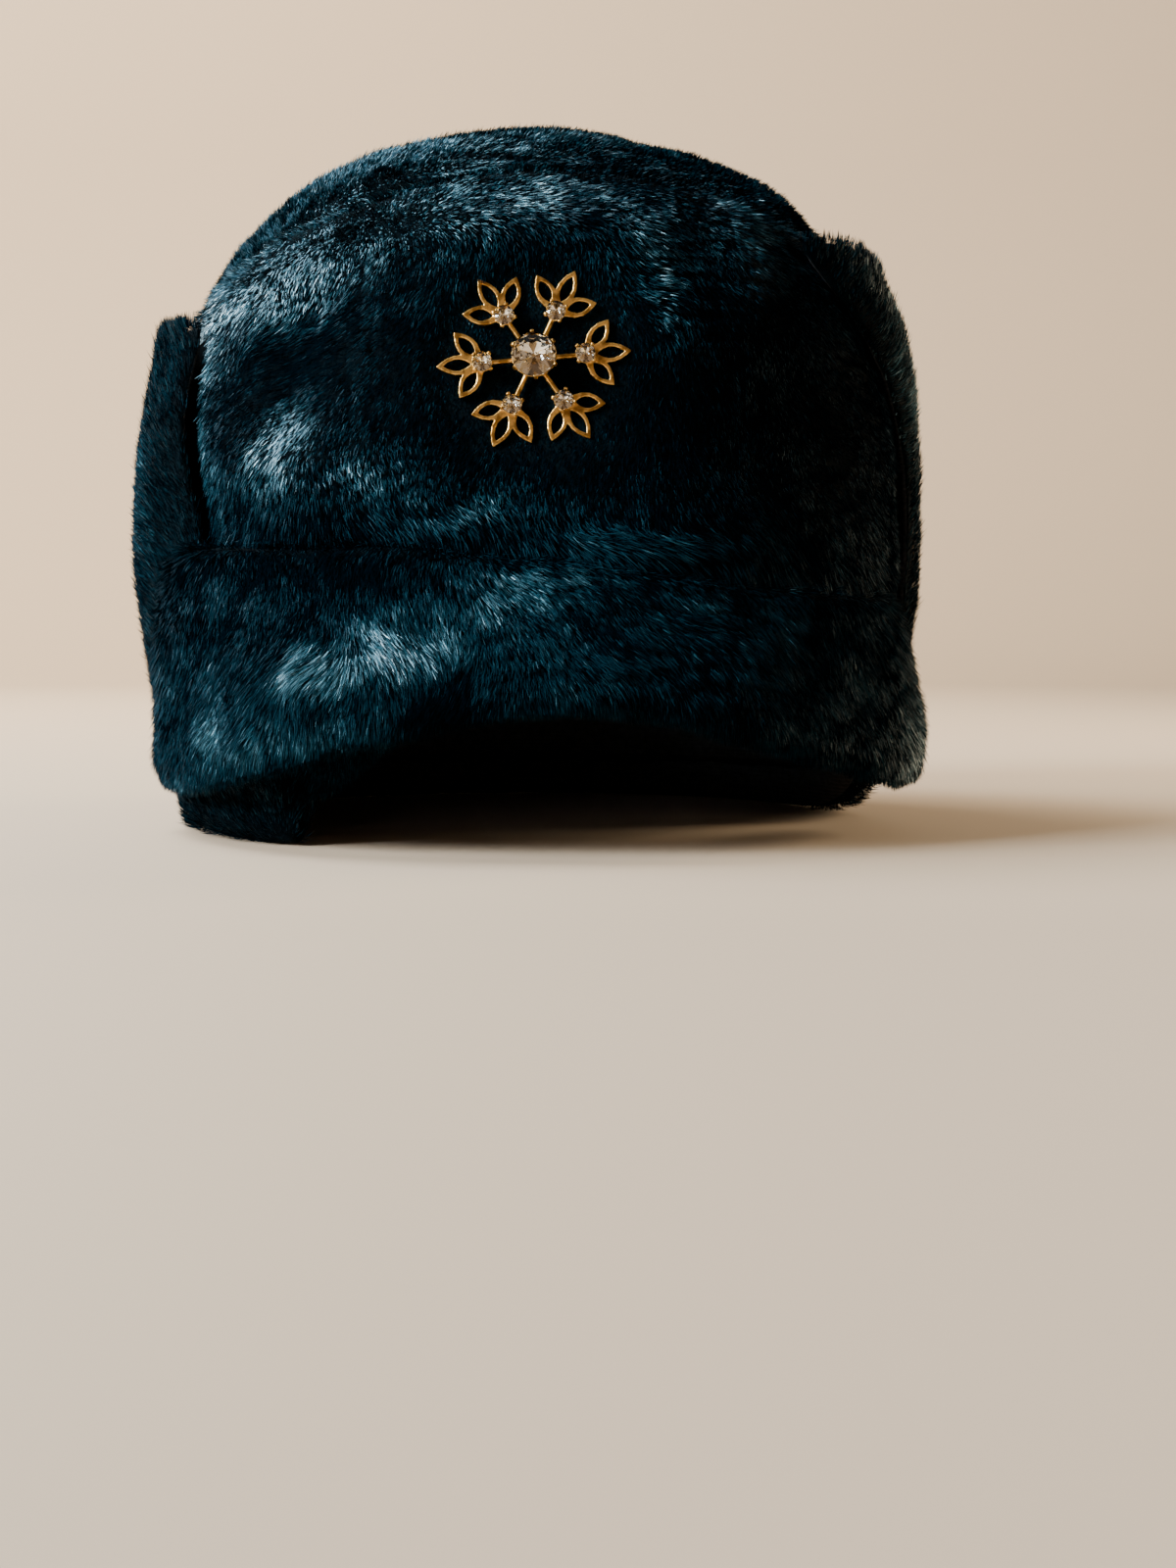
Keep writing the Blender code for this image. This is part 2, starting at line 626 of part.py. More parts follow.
def brim_drops():
    """The shares of the way down at which the brim has rows, closer at its two edges."""
    drops = [row / BRIM_ROWS for row in range(BRIM_ROWS + 1)]
    near_edge = BRIM_EDGE_ROW / BRIM_ROWS
    return [0.0, near_edge] + drops[1:-1] + [1.0 - near_edge, 1.0]


def border(rows):
    """The vertices round a sheet that is given as rows, starting along its first row."""
    middle = rows[1:-1]
    return rows[0] + [row[-1] for row in middle] + rows[-1][::-1] + [row[0] for row in middle[::-1]]


def make_brim():
    """The front brim: a padded flap hung over the crown's lower front, with rounded lower corners."""
    bm = bmesh.new()
    outer, inner = [], []
    for drop in brim_drops():
        section = row_at(BRIM_SECTIONS, "drop", drop)
        row_out, row_in = [], []
        for step in range(BRIM_STEPS + 1):
            azimuth = section.left + (section.right - section.left) * step / BRIM_STEPS
            height = brim_seam(azimuth) + (brim_edge(azimuth) - brim_seam(azimuth)) * drop
            full = section.full * end_taper(step, BRIM_STEPS)
            flare = max(section.flare * BRIM_FLARE + brim_flutes(azimuth, drop), 0.0)
            radius = brim_inner(azimuth, height, flare)
            row_in.append(bm.verts.new(polar(azimuth, radius, height)))
            row_out.append(bm.verts.new(polar(azimuth, radius + BRIM_THICKNESS * full, height)))
        outer.append(row_out)
        inner.append(row_in)
    for face in (outer, inner):
        for first, second in zip(face, face[1:]):
            join_rings(bm, first, second, closed=False)
    join_rings(bm, border(outer), border(inner))
    return make_object("front_brim", mesh_from(bm, "front_brim"), PLUSH)


def apply_boolean(thing, other, operation):
    """Applies a Boolean with another object to a thing's own mesh."""
    modifier = thing.modifiers.new(operation.lower(), "BOOLEAN")
    modifier.operation = operation
    modifier.object = other
    modifier.solver = "EXACT"
    graph = bpy.context.evaluated_depsgraph_get()
    mesh = bpy.data.meshes.new_from_object(thing.evaluated_get(graph), depsgraph=graph)
    thing.modifiers.remove(modifier)
    thing.data = mesh


def cut(thing, tool):
    """Cuts a tool out of a thing."""
    apply_boolean(thing, tool, "DIFFERENCE")


def loft(name, rings, transform=None):
    """A closed body through rings of points with the same count, capped at both ends."""
    bm = bmesh.new()
    made = [[bm.verts.new(point) for point in ring] for ring in rings]
    for first, second in zip(made, made[1:]):
        join_rings(bm, first, second)
    bm.faces.new(made[0])
    bm.faces.new(made[-1])
    mesh = mesh_from(bm, name)
    if transform is not None:
        mesh.transform(transform)
    thing = bpy.data.objects.new(name, mesh)
    bpy.context.scene.collection.objects.link(thing)
    return thing


def circle(radius, height, sides, turn=0.0, middle=(0.0, 0.0)):
    """A level ring of points."""
    points = []
    for i in range(sides):
        angle = 2.0 * math.pi * (i + turn) / sides
        across, along = radius * math.cos(angle), radius * math.sin(angle)
        points.append(Vector((middle[0] + across, middle[1] + along, height)))
    return points


def rod(name, start, end, radius, sides=6):
    """A straight rod between two points."""
    along = Vector(end) - Vector(start)
    turn = along.to_track_quat("Z", "Y").to_matrix().to_4x4()
    turn.translation = Vector(start)
    return loft(name, [circle(radius, 0.0, sides), circle(radius, along.length, sides)], turn)


def pin_hole(side):
    """The tool for one of the two holes that the brooch's pin passes through."""
    seat = seat_frame() @ Matrix.Rotation(math.radians(BROOCH_TURN), 4, "Z")
    reach = CLOTH_WALL * 2.0
    start = seat @ Vector((side * ARM_REACH, 0.0, -reach))
    end = seat @ Vector((side * ARM_REACH, 0.0, reach))
    return rod("pin_hole", start, end, PIN_RADIUS + PIN_CLEARANCE, 8)


def leaf_half(width, share):
    """Half the width of a leaf or its opening at a share of its length: two arcs that meet in points."""
    return width * 2.0 * share * (1.0 - share)


def leaf_side(length, turn, steps, side):
    """Points of one side of a leaf that starts at the origin, at shares of its length."""
    turned = Matrix.Rotation(math.radians(turn), 2)
    return [turned @ Vector((length * share, side * leaf_half(LEAF_WIDTH, share))) for share in steps]


def arm_outline():
    """The outline of the three leaves of an arm round their setting, anticlockwise."""
    valley = 1.0 - math.tan(math.radians(LEAF_SPREAD / 2.0)) * MIDDLE_LEAF_LENGTH / (2.0 * LEAF_WIDTH)
    rising = LEAF_STEPS[::-1]
    outline = leaf_side(SIDE_LEAF_LENGTH, -LEAF_SPREAD, LEAF_ROOT_STEPS[::-1] + rising, -1.0)
    outline += leaf_side(SIDE_LEAF_LENGTH, -LEAF_SPREAD, (1.0,) + LEAF_STEPS, 1.0)
    outline += leaf_side(MIDDLE_LEAF_LENGTH, 0.0, (valley,) + rising, -1.0)
    outline += leaf_side(MIDDLE_LEAF_LENGTH, 0.0, (1.0,) + LEAF_STEPS + (valley,), 1.0)
    outline += leaf_side(SIDE_LEAF_LENGTH, LEAF_SPREAD, rising + (1.0,), -1.0)
    outline += leaf_side(SIDE_LEAF_LENGTH, LEAF_SPREAD, LEAF_STEPS + LEAF_ROOT_STEPS, 1.0)
    behind = SMALL_STONE * 0.25
    return outline + [Vector((-behind, behind * 0.6)), Vector((-behind, -behind * 0.6))]


def make_plate():
    """The three leaves of an arm as one plate, pierced by their openings, round the arm's setting."""
    outline = arm_outline()
    foot = PLATE_THICKNESS * PLATE_FOOT
    levels = (foot, foot + PLATE_THICKNESS)
    rings = [[Vector((p.x + ARM_REACH, p.y, z)) for p in outline] for z in levels]
    plate = loft("plate", rings)
    start = SMALL_STONE / 2.0 + SETTING_WALL * 0.5
    for length, turn in (
        (SIDE_LEAF_LENGTH, -LEAF_SPREAD),
        (MIDDLE_LEAF_LENGTH, 0.0),
        (SIDE_LEAF_LENGTH, LEAF_SPREAD),
    ):
        opening = leaf_opening(start, length - LEAF_WIRE * 1.6, turn)
        cut(plate, opening)
        bpy.data.objects.remove(opening)
    return plate


def leaf_opening(start, end, turn):
    """The tool for a leaf's pointed opening between two distances from its setting's middle."""
    turned = Matrix.Rotation(math.radians(turn), 2)
    width = LEAF_WIDTH - 2.0 * LEAF_WIRE
    points = []
    for i in range(OPENING_SIDES):
        side = -1.0 if i < OPENING_SIDES / 2 else 1.0
        share = 1.0 - abs(1.0 - 2.0 * i / OPENING_SIDES)
        spot = turned @ Vector((start + (end - start) * share, side * leaf_half(width, share)))
        points.append(Vector((spot.x + ARM_REACH, spot.y, 0.0)))
    depth = Vector((0.0, 0.0, PLATE_THICKNESS * 2.0))
    return loft("opening", [[p - depth for p in points], [p + depth for p in points]])


def cup_radius(stone_size, share):
    """Outer radius of a setting's cup at a share of its height: a straight foot, then a cone."""
    foot = stone_size / 2.0 * CUP_WAIST + SETTING_WALL
    edge = stone_size / 2.0 + SETTING_WALL * 0.4
    return foot + (edge - foot) * max(share - CUP_FOOT, 0.0) / (1.0 - CUP_FOOT)


def make_cup(stone_size, height, sides, reach):
    """The solid cup of a setting, before it is hollowed."""
    rings = [
        circle(cup_radius(stone_size, share), height * share, sides, 0.5, (reach, 0.0))
        for share in (0.0, CUP_FOOT, 1.0)
    ]
    return loft("cup", rings)


def make_hollow(stone_size, height, sides, reach):
    """The tool that hollows a cup for the lower half of its stone."""
    radius = stone_size / 2.0
    rings = [
        circle(radius * CUP_WAIST / 2.0, height * CUP_FOOT * 0.9, sides, 0.5, (reach, 0.0)),
        circle(radius + STONE_GAP, height + STONE_GAP, sides, 0.5, (reach, 0.0)),
    ]
    return loft("hollow", rings)


def make_claws(stone_size, height, count, reach):
    """The claws that stand on a cup's edge and lean over its stone."""
    radius = stone_size / 2.0
    lines = (
        (cup_radius(stone_size, 0.6) - SETTING_WALL * 0.55, height * 0.6, SETTING_WALL * 1.1),
        (radius + STONE_GAP + SETTING_WALL * 0.1, height + STONE_GAP, SETTING_WALL * 0.9),
        (radius * 0.94 + STONE_GAP, height + radius * 0.24 + STONE_GAP, SETTING_WALL * 0.6),
    )
    claws = []
    for i in range(count):
        angle = 2.0 * math.pi * (i + 0.5) / count
        out = Vector((math.cos(angle), math.sin(angle), 0.0))
        across = Vector((-out.y, out.x, 0.0)) * SETTING_WALL * 0.75
        rings = []
        for inner, level, thick in lines:
            base = Vector((reach, 0.0, level)) + out * inner
            face = out * thick
            rings.append([base - across, base - across + face, base + across + face, base + across])
        claws.append(loft("claw", rings))
    return claws


def unite(thing, others):
    """Unites other objects with a thing and removes them."""
    for other in others:
        apply_boolean(thing, other, "UNION")
        bpy.data.objects.remove(other)
    return thing


def make_arm():
    """One arm along +X: its spoke, leaves and hollowed setting with four claws, as one body."""
    level = PLATE_THICKNESS * SPOKE_LEVEL
    inside_cup = CENTRE_STONE / 2.0 * CUP_WAIST
    arm = make_cup(SMALL_STONE, SMALL_SETTING_HEIGHT, SMALL_CUP_SIDES, ARM_REACH)
    spoke = rod("spoke", (inside_cup, 0.0, level), (ARM_REACH, 0.0, level), SPOKE_RADIUS)
    unite(arm, [make_plate(), spoke])
    hollow = make_hollow(SMALL_STONE, SMALL_SETTING_HEIGHT, SMALL_CUP_SIDES, ARM_REACH)
    cut(arm, hollow)
    bpy.data.objects.remove(hollow)
    return unite(arm, make_claws(SMALL_STONE, SMALL_SETTING_HEIGHT, SMALL_CLAWS, ARM_REACH))


def pin_parts():
    """The pin behind the cloth and the two legs that reach it from the settings of two arms."""
    behind = -(CLOTH_WALL + PIN_RADIUS * 3.0)
    into = PLATE_THICKNESS * 0.5
    past = ARM_REACH + PIN_RADIUS * 3.0
    parts = [rod("pin", (-past, 0.0, behind), (past, 0.0, behind), PIN_RADIUS)]
    for side in (-1.0, 1.0):
        leg_at = side * ARM_REACH
        parts.append(rod("leg", (leg_at, 0.0, behind), (leg_at, 0.0, into), PIN_RADIUS * 0.96))
    return parts


def brooch_frame_place():
    """The brooch's own frame: its back lies a seat gap off the crown."""
    turn = Matrix.Rotation(math.radians(BROOCH_TURN), 4, "Z")
    return seat_frame() @ turn @ Matrix.Translation((0.0, 0.0, SEAT_GAP))


def make_brooch():
    """The soldered snowflake frame with its settings and pin, as one solid."""
    frame = make_cup(CENTRE_STONE, CENTRE_SETTING_HEIGHT, CENTRE_CUP_SIDES, 0.0)
    arm = make_arm()
    for index in range(ARMS):
        turned = bpy.data.objects.new("turned_arm", arm.data.copy())
        bpy.context.scene.collection.objects.link(turned)
        turned.data.transform(Matrix.Rotation(2.0 * math.pi * index / ARMS, 4, "Z"))
        unite(frame, [turned])
    bpy.data.objects.remove(arm)
    hollow = make_hollow(CENTRE_STONE, CENTRE_SETTING_HEIGHT, CENTRE_CUP_SIDES, 0.0)
    cut(frame, hollow)
    bpy.data.objects.remove(hollow)
    unite(frame, make_claws(CENTRE_STONE, CENTRE_SETTING_HEIGHT, CENTRE_CLAWS, 0.0) + pin_parts())
    mesh = frame.data
    bpy.data.objects.remove(frame)
    mesh.transform(brooch_frame_place())
    return make_object("brooch_frame", mesh, GILT)


def make_stone(name, size, place):
    """A cut stone with a table, a crown of facets, a girdle and a pavilion, its girdle at z = 0."""
    radius = size / 2.0
    bm = bmesh.new()
    rings = []
    for row in STONE_RINGS:
        level = circle(row.radius * radius, row.height * radius, row.sides, row.turn)
        rings.append([bm.verts.new(point) for point in level])
    for upper, lower, first, second in zip(rings, rings[1:], STONE_RINGS, STONE_RINGS[1:]):
        turned = second.turn - first.turn
        for i in range(first.sides):
            j = (i + 1) % first.sides
            if turned > 0.0:
                bm.faces.new((upper[i], lower[i], upper[j]))
                bm.faces.new((upper[j], lower[i], lower[j]))
            elif turned < 0.0:
                bm.faces.new((upper[i], lower[i], lower[j]))
                bm.faces.new((upper[i], lower[j], upper[j]))
            else:
                bm.faces.new((upper[i], lower[i], lower[j], upper[j]))
    bm.faces.new(rings[0])
    bm.faces.new(rings[-1])
    mesh = mesh_from(bm, name)
    mesh.transform(place)
    stone = make_object(name, mesh, RHINESTONE)
    stone.data.shade_flat()
    return stone


def make_stones():
    """The large middle stone and one small stone on each arm."""
    frame = brooch_frame_place()

    def on_setting(height, reach, turn):
        spot = Matrix.Rotation(turn, 4, "Z") @ Matrix.Translation((reach, 0.0, height + STONE_GAP))
        return frame @ spot

    stones = [make_stone("centre_stone", CENTRE_STONE, on_setting(CENTRE_SETTING_HEIGHT, 0.0, 0.0))]
    for index in range(ARMS):
        turn = 2.0 * math.pi * index / ARMS
        place = on_setting(SMALL_SETTING_HEIGHT, ARM_REACH, turn)
        stones.append(make_stone(f"small_stone_{index + 1}", SMALL_STONE, place))
    return stones


def centre_on_floor(things):
    """Moves everything so that the middle of the hat's box stands over the origin."""
    points = [vertex.co for thing in things for vertex in thing.data.vertices]
    low = [min(point[axis] for point in points) for axis in range(3)]
    high = [max(point[axis] for point in points) for axis in range(3)]
    shift = Matrix.Translation((-(low[0] + high[0]) / 2.0, -(low[1] + high[1]) / 2.0, -low[2]))
    for thing in things:
        thing.data.transform(shift)


def main():
    """Clears the scene and builds the hat."""
    for old in list(bpy.data.objects):
        bpy.data.objects.remove(old)
    things = [make_crown_side(), make_crown_tip(), make_cuff(), make_brim(), make_brooch()]
    centre_on_floor(things + make_stones())


main()
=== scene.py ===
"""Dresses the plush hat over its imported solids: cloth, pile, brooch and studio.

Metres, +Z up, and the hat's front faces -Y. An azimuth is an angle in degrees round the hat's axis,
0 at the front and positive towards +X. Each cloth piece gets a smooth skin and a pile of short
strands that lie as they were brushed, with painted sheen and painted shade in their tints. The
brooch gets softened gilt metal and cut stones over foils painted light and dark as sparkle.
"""

from __future__ import annotations

import itertools
import logging
import math
from dataclasses import dataclass, field, replace
from enum import Enum
from functools import cached_property
from typing import Callable, NamedTuple

import bmesh
import bpy
import numpy as np
from bpy.types import Material, Mesh, Node, NodeSocket, NodeTree, Object
from mathutils import Matrix, Vector
from mathutils.bvhtree import BVHTree
from mathutils.kdtree import KDTree

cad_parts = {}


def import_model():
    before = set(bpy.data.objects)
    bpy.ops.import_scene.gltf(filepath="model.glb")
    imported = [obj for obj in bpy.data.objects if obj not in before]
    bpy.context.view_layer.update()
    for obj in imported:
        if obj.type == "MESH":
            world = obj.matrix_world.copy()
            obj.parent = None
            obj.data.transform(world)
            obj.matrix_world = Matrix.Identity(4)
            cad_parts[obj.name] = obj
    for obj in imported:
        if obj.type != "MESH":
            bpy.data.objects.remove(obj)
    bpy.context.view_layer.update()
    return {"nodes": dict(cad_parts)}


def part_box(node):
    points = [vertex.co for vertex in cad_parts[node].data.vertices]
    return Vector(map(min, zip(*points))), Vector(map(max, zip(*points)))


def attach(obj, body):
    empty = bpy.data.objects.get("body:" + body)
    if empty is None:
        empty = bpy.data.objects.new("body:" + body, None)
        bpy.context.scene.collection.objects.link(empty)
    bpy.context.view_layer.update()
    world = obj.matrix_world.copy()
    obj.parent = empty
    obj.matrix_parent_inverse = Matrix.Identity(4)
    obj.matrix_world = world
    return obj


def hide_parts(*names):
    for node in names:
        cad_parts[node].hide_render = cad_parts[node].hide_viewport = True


log = logging.getLogger("plush_hat")

Array = np.ndarray
Pair = tuple[float, float]
Triple = tuple[float, float, float]

BODY = "root"
WELD = 0.00002  # points nearer than this are one, in metres
METAL_WELD = WELD / 4.0  # same in the brooch, whose edges are finer
MILLIMETRE = 0.001
FLAT_DOWN = -0.8  # Z of a facing from which a face rests on the floor
OFF_THE_CLOTH = 0.0004  # how far over the cloth a search for what covers it starts


def bell(value: Array, spread: float) -> Array:
    """1 at zero, falling off smoothly over the spread on both sides."""
    return np.exp(-((value / spread) ** 2))


def smooth_step(start: float, end: float, value: Array) -> Array:
    """0 before start, 1 after end and smooth between them."""
    share = np.clip((value - start) / (end - start), 0.0, 1.0)
    return share * share * (3.0 - 2.0 * share)


def angle_between(first: Array, second: float) -> Array:
    """The signed difference of azimuths, from -180 to 180 degrees."""
    return (first - second + 180.0) % 360.0 - 180.0


def azimuth_of(points: Array) -> Array:
    """The azimuth of each point in degrees."""
    return np.degrees(np.arctan2(points[:, 0], -points[:, 1]))


def unit(vectors: Array) -> Array:
    """The vectors at length 1."""
    return vectors / np.maximum(np.linalg.norm(vectors, axis=1, keepdims=True), 1e-12)


@dataclass(frozen=True)
class SoftNoise:
    """Smooth random values over space, the same on each run."""

    seed: int
    size: float
    cells: int = 32

    @cached_property
    def table(self) -> Array:
        """Random values at the corners of a repeating grid."""
        return np.random.default_rng(self.seed).uniform(-1.0, 1.0, (self.cells,) * 3)

    def at(self, points: Array) -> Array:
        """Reads the noise.

        Args:
            points: positions in metres, one in each row.

        Returns:
            A value for each point, mostly between -0.7 and 0.7.
        """
        place = points / self.size
        cell = np.floor(place).astype(int)
        share = place - cell
        share = share * share * (3.0 - 2.0 * share)
        total = np.zeros(len(points))
        for corner in itertools.product((0, 1), repeat=3):
            weight = np.prod(np.where(corner, share, 1.0 - share), axis=1)
            index = (cell + corner) % self.cells
            total += weight * self.table[index[:, 0], index[:, 1], index[:, 2]]
        return total


def linked(name: str, data: bpy.types.ID) -> Object:
    """A new object in the scene."""
    thing = bpy.data.objects.new(name, data)
    bpy.context.scene.collection.objects.link(thing)
    return thing


def read_rows(source: bpy.types.bpy_prop_collection, name: str, kind: type = float) -> Array:
    """Reads a property of three numbers from each item."""
    values = np.zeros(len(source) * 3, dtype=kind)
    source.foreach_get(name, values)
    return values.reshape(-1, 3)


def principled(name: str) -> tuple[Material, NodeTree, Node]:
    """A new material with its node tree and its Principled shader."""
    material = bpy.data.materials.new(name)
    material.use_nodes = True
    tree = material.node_tree
    return material, tree, tree.nodes["Principled BSDF"]


def dial(node: Node, **values: float | Triple) -> None:
    """Sets inputs of a node; an underscore stands for a space, and a colour gets its alpha."""
    for name, value in values.items():
        full = (*value, 1.0) if isinstance(value, tuple) else value
        node.inputs[name.replace("_", " ")].default_value = full


def noise_node(tree: NodeTree, scale: float, detail: float = 3.0) -> Node:
    """A noise texture over object space; its scale is in repeats for each metre."""
    place = tree.nodes.new("ShaderNodeTexCoord")
    noise = tree.nodes.new("ShaderNodeTexNoise")
    dial(noise, Scale=scale, Detail=detail)
    tree.links.new(place.outputs["Object"], noise.inputs["Vector"])
    return noise


def ramp_node(tree: NodeTree, source: NodeSocket, stops: tuple[tuple[float, tuple], ...]) -> Node:
    """A colour ramp.

    Args:
        tree: the material's nodes.
        source: what drives the ramp.
        stops: positions with their colours.

    Returns:
        The ramp's node.
    """
    ramp = tree.nodes.new("ShaderNodeValToRGB")
    points = ramp.color_ramp.elements
    while len(points) < len(stops):
        points.new(0.5)
    for point, (position, colour) in zip(points, stops):
        point.position = position
        point.color = (*colour, 1.0)
    tree.links.new(source, ramp.inputs["Fac"])
    return ramp


def bump_node(tree: NodeTree, height: NodeSocket, depth: float, strength: float) -> Node:
    """A bump of a depth in metres, linked to nothing yet."""
    bump = tree.nodes.new("ShaderNodeBump")
    dial(bump, Distance=depth, Strength=strength)
    tree.links.new(height, bump.inputs["Height"])
    return bump


@dataclass(frozen=True)
class PlushGround:
    """The cloth that the pile stands in, as it looks between the strands."""

    deep: Triple = (0.0004, 0.0014, 0.0022)
    light: Triple = (0.0012, 0.0050, 0.0070)
    roughness: float = 0.85
    gleam: float = 0.02
    mottle: float = 260.0  # patches for each metre
    nap: float = 1500.0  # rough spots for each metre
    nap_depth: float = 0.0006

    def material(self) -> Material:
        """Builds the material."""
        material, tree, shader = principled("plush_ground")
        noise = noise_node(tree, self.mottle)
        ramp = ramp_node(tree, noise.outputs["Fac"], ((0.35, self.deep), (0.70, self.light)))
        tree.links.new(ramp.outputs["Color"], shader.inputs["Base Color"])
        fine = noise_node(tree, self.nap, 2.0)
        bump = bump_node(tree, fine.outputs["Fac"], self.nap_depth, 0.8)
        tree.links.new(bump.outputs["Normal"], shader.inputs["Normal"])
        dial(shader, Roughness=self.roughness, Specular_IOR_Level=self.gleam)
        return material


@dataclass(frozen=True)
class BackingCloth:
    """The knitted back of the plush, which shows inside the hat."""

    dark: Triple = (0.006, 0.008, 0.010)
    light: Triple = (0.020, 0.024, 0.030)
    stitches: float = 520.0  # for each metre
    stitch_depth: float = 0.0003
    roughness: float = 0.9

    def material(self) -> Material:
        """Builds the material."""
        material, tree, shader = principled("backing_cloth")
        place = tree.nodes.new("ShaderNodeTexCoord")
        rows = tree.nodes.new("ShaderNodeTexWave")
        rows.bands_direction = "Z"
        dial(rows, Scale=self.stitches / 2.0, Distortion=1.5, Detail=1.0)
        tree.links.new(place.outputs["Object"], rows.inputs["Vector"])
        noise = noise_node(tree, self.stitches)
        ramp = ramp_node(tree, noise.outputs["Fac"], ((0.35, self.dark), (0.65, self.light)))
        tree.links.new(ramp.outputs["Color"], shader.inputs["Base Color"])
        bump = bump_node(tree, rows.outputs["Fac"], self.stitch_depth, 0.7)
        tree.links.new(bump.outputs["Normal"], shader.inputs["Normal"])
        dial(shader, Roughness=self.roughness)
        return material


class Tint(Enum):
    """The tints of a strand, darkest to palest: noise picks among them at random, the paler ones
    are painted sheen and the darker ones partly painted shade.
    """

    DEEP = 0
    DARK = 1
    TEAL = 2
    CLEAR = 3
    FULL_SHEEN = 4


class Fibre(NamedTuple):
    """The finish of one tint of strand."""

    colour: Triple  # colour of the fibre itself
    gloss: Triple  # colour of its reflections
    roughness: float  # how soft its reflections are
    bend: float  # index of refraction, which sets how strong they are


# Lit and shaded copies of one fibre: the paler tints, with stronger and paler reflections, are
# painted sheen.
FIBRES: dict[Tint, Fibre] = {
    Tint.DEEP: Fibre((0.0005, 0.0024, 0.0042), (0.20, 0.62, 0.80), 0.60, 1.00),
    Tint.DARK: Fibre((0.0017, 0.0125, 0.0205), (0.24, 0.68, 0.84), 0.50, 1.12),
    Tint.TEAL: Fibre((0.0060, 0.0350, 0.0500), (0.36, 0.76, 0.90), 0.42, 1.30),
    Tint.CLEAR: Fibre((0.0480, 0.1350, 0.1750), (0.60, 0.90, 1.00), 0.35, 1.60),
    Tint.FULL_SHEEN: Fibre((0.1900, 0.3400, 0.4200), (0.82, 0.97, 1.00), 0.30, 1.95),
}


@dataclass(frozen=True)
class StrandFinish:
    """The fibre of the pile: glossy, nearly black teal, with paler strands that are painted sheen.
    """

    def materials(self) -> list[Material]:
        """Builds one material for each tint."""
        made = []
        for tint, fibre in FIBRES.items():
            material, _, shader = principled(f"strand_{tint.name.lower()}")
            dial(shader, Base_Color=fibre.colour, Roughness=fibre.roughness)
            dial(shader, IOR=fibre.bend, Specular_Tint=fibre.gloss)
            made.append(material)
        return made


@dataclass(frozen=True)
class Gilt:
    """Worn antique gilt: warm, with darker brown where it has dulled."""

    bright: Triple = (0.84, 0.50, 0.14)
    dull: Triple = (0.30, 0.145, 0.030)
    dull_roughness: float = 0.42
    bright_roughness: float = 0.20
    wear: float = 420.0  # dull patches for each metre
    pits: float = 1800.0  # for each metre
    pit_depth: float = 0.00008

    def material(self) -> Material:
        """Builds the material."""
        material, tree, shader = principled("gilt")
        noise = noise_node(tree, self.wear, 4.0)
        ramp = ramp_node(tree, noise.outputs["Fac"], ((0.40, self.dull), (0.56, self.bright)))
        tree.links.new(ramp.outputs["Color"], shader.inputs["Base Color"])
        spread = tree.nodes.new("ShaderNodeMapRange")
        dial(spread, To_Min=self.dull_roughness, To_Max=self.bright_roughness)
        tree.links.new(noise.outputs["Fac"], spread.inputs["Value"])
        tree.links.new(spread.outputs["Result"], shader.inputs["Roughness"])
        fine = noise_node(tree, self.pits, 2.0)
        bump = bump_node(tree, fine.outputs["Fac"], self.pit_depth, 0.5)
        tree.links.new(bump.outputs["Normal"], shader.inputs["Normal"])
        dial(shader, Metallic=1.0)
        return material


@dataclass(frozen=True)
class CutGlass:
    """Clear lead glass over a silvered foil, its facets coloured in turn: the bright foil is its
    own silver, the warm and dark ones a painted reflection and painted shade.
    """

    tint: Triple = (1.0, 1.0, 0.98)
    # Bright silver, painted warm reflection and painted shade, given to the facets in turn as
    # sparkle.
    sparkle_foils: tuple[Triple, ...] = (
        (0.96, 0.96, 0.94),
        (0.80, 0.66, 0.38),
        (0.26, 0.19, 0.11),
    )
    bend: float = 1.56
    foil_roughness: float = 0.05

    def materials(self) -> list[Material]:
        """Builds the glass and the foils."""
        glass, _, shader = principled("cut_glass")
        dial(shader, Base_Color=self.tint, Roughness=0.0, IOR=self.bend, Transmission_Weight=1.0)
        made = [glass]
        # Materials foil_1 to foil_3: the silver foil, then its painted warm reflection and painted
        # shade.
        for number, colour in enumerate(self.sparkle_foils, start=1):
            foil, _, shader = principled(f"foil_{number}")
            dial(shader, Base_Color=colour, Roughness=self.foil_roughness, Metallic=1.0)
            made.append(foil)
        return made


class Grain(Enum):
    """A layer of soft noise in a pile: what is added to its seed, its span in metres, its reach."""

    WANDER = (10, 0.026, 1.0)
    TURN = (11, 0.008, 20.0)
    WARP = (12, 0.022, 0.009)
    LIFT = (13, 0.012, 14.0)
    PATCH = (14, 0.011, 0.7)
    FLECK = (15, 0.0032, 1.0)
    RIPPLE = (16, 0.030, 0.9)
    LENGTH = (17, 0.010, 0.20)

    def at(self, seed: int, points: Array) -> Array:
        """What the layer adds at each point of a pile with that seed."""
        salt, span, reach = self.value
        return reach * SoftNoise(seed + salt, span).at(points)


@dataclass(frozen=True)
class Scatter:
    """How single strands differ from their neighbours. Pairs are a least and a most."""

    turn: float = 9.0  # spread of their turns, in degrees
    lift: float = 6.0  # spread of their lifts, in degrees
    stray_lift: float = 30.0  # how much steeper a stray strand stands, in degrees
    lifts: Pair = (4.0, 75.0)  # degrees
    tint: float = 0.40  # spread of their tints, in steps
    patchy: float = 0.6  # how far soft noise changes the tint
    painted_sheen: float = 0.76  # painted sheen: gain in tint for each step of a patch's shine
    painted_sheen_spread: float = 0.45  # spread of that gain
    rippled_sheen: float = 0.20  # how far the ripples change that gain, painting sheen along them
    most_shine: float = 4.0  # the most painted sheen that patches add, in steps
    lengths: Pair = (0.72, 1.12)  # shares
    widths: Pair = (0.7, 1.25)  # shares
    most_roll: float = 1.2  # radians


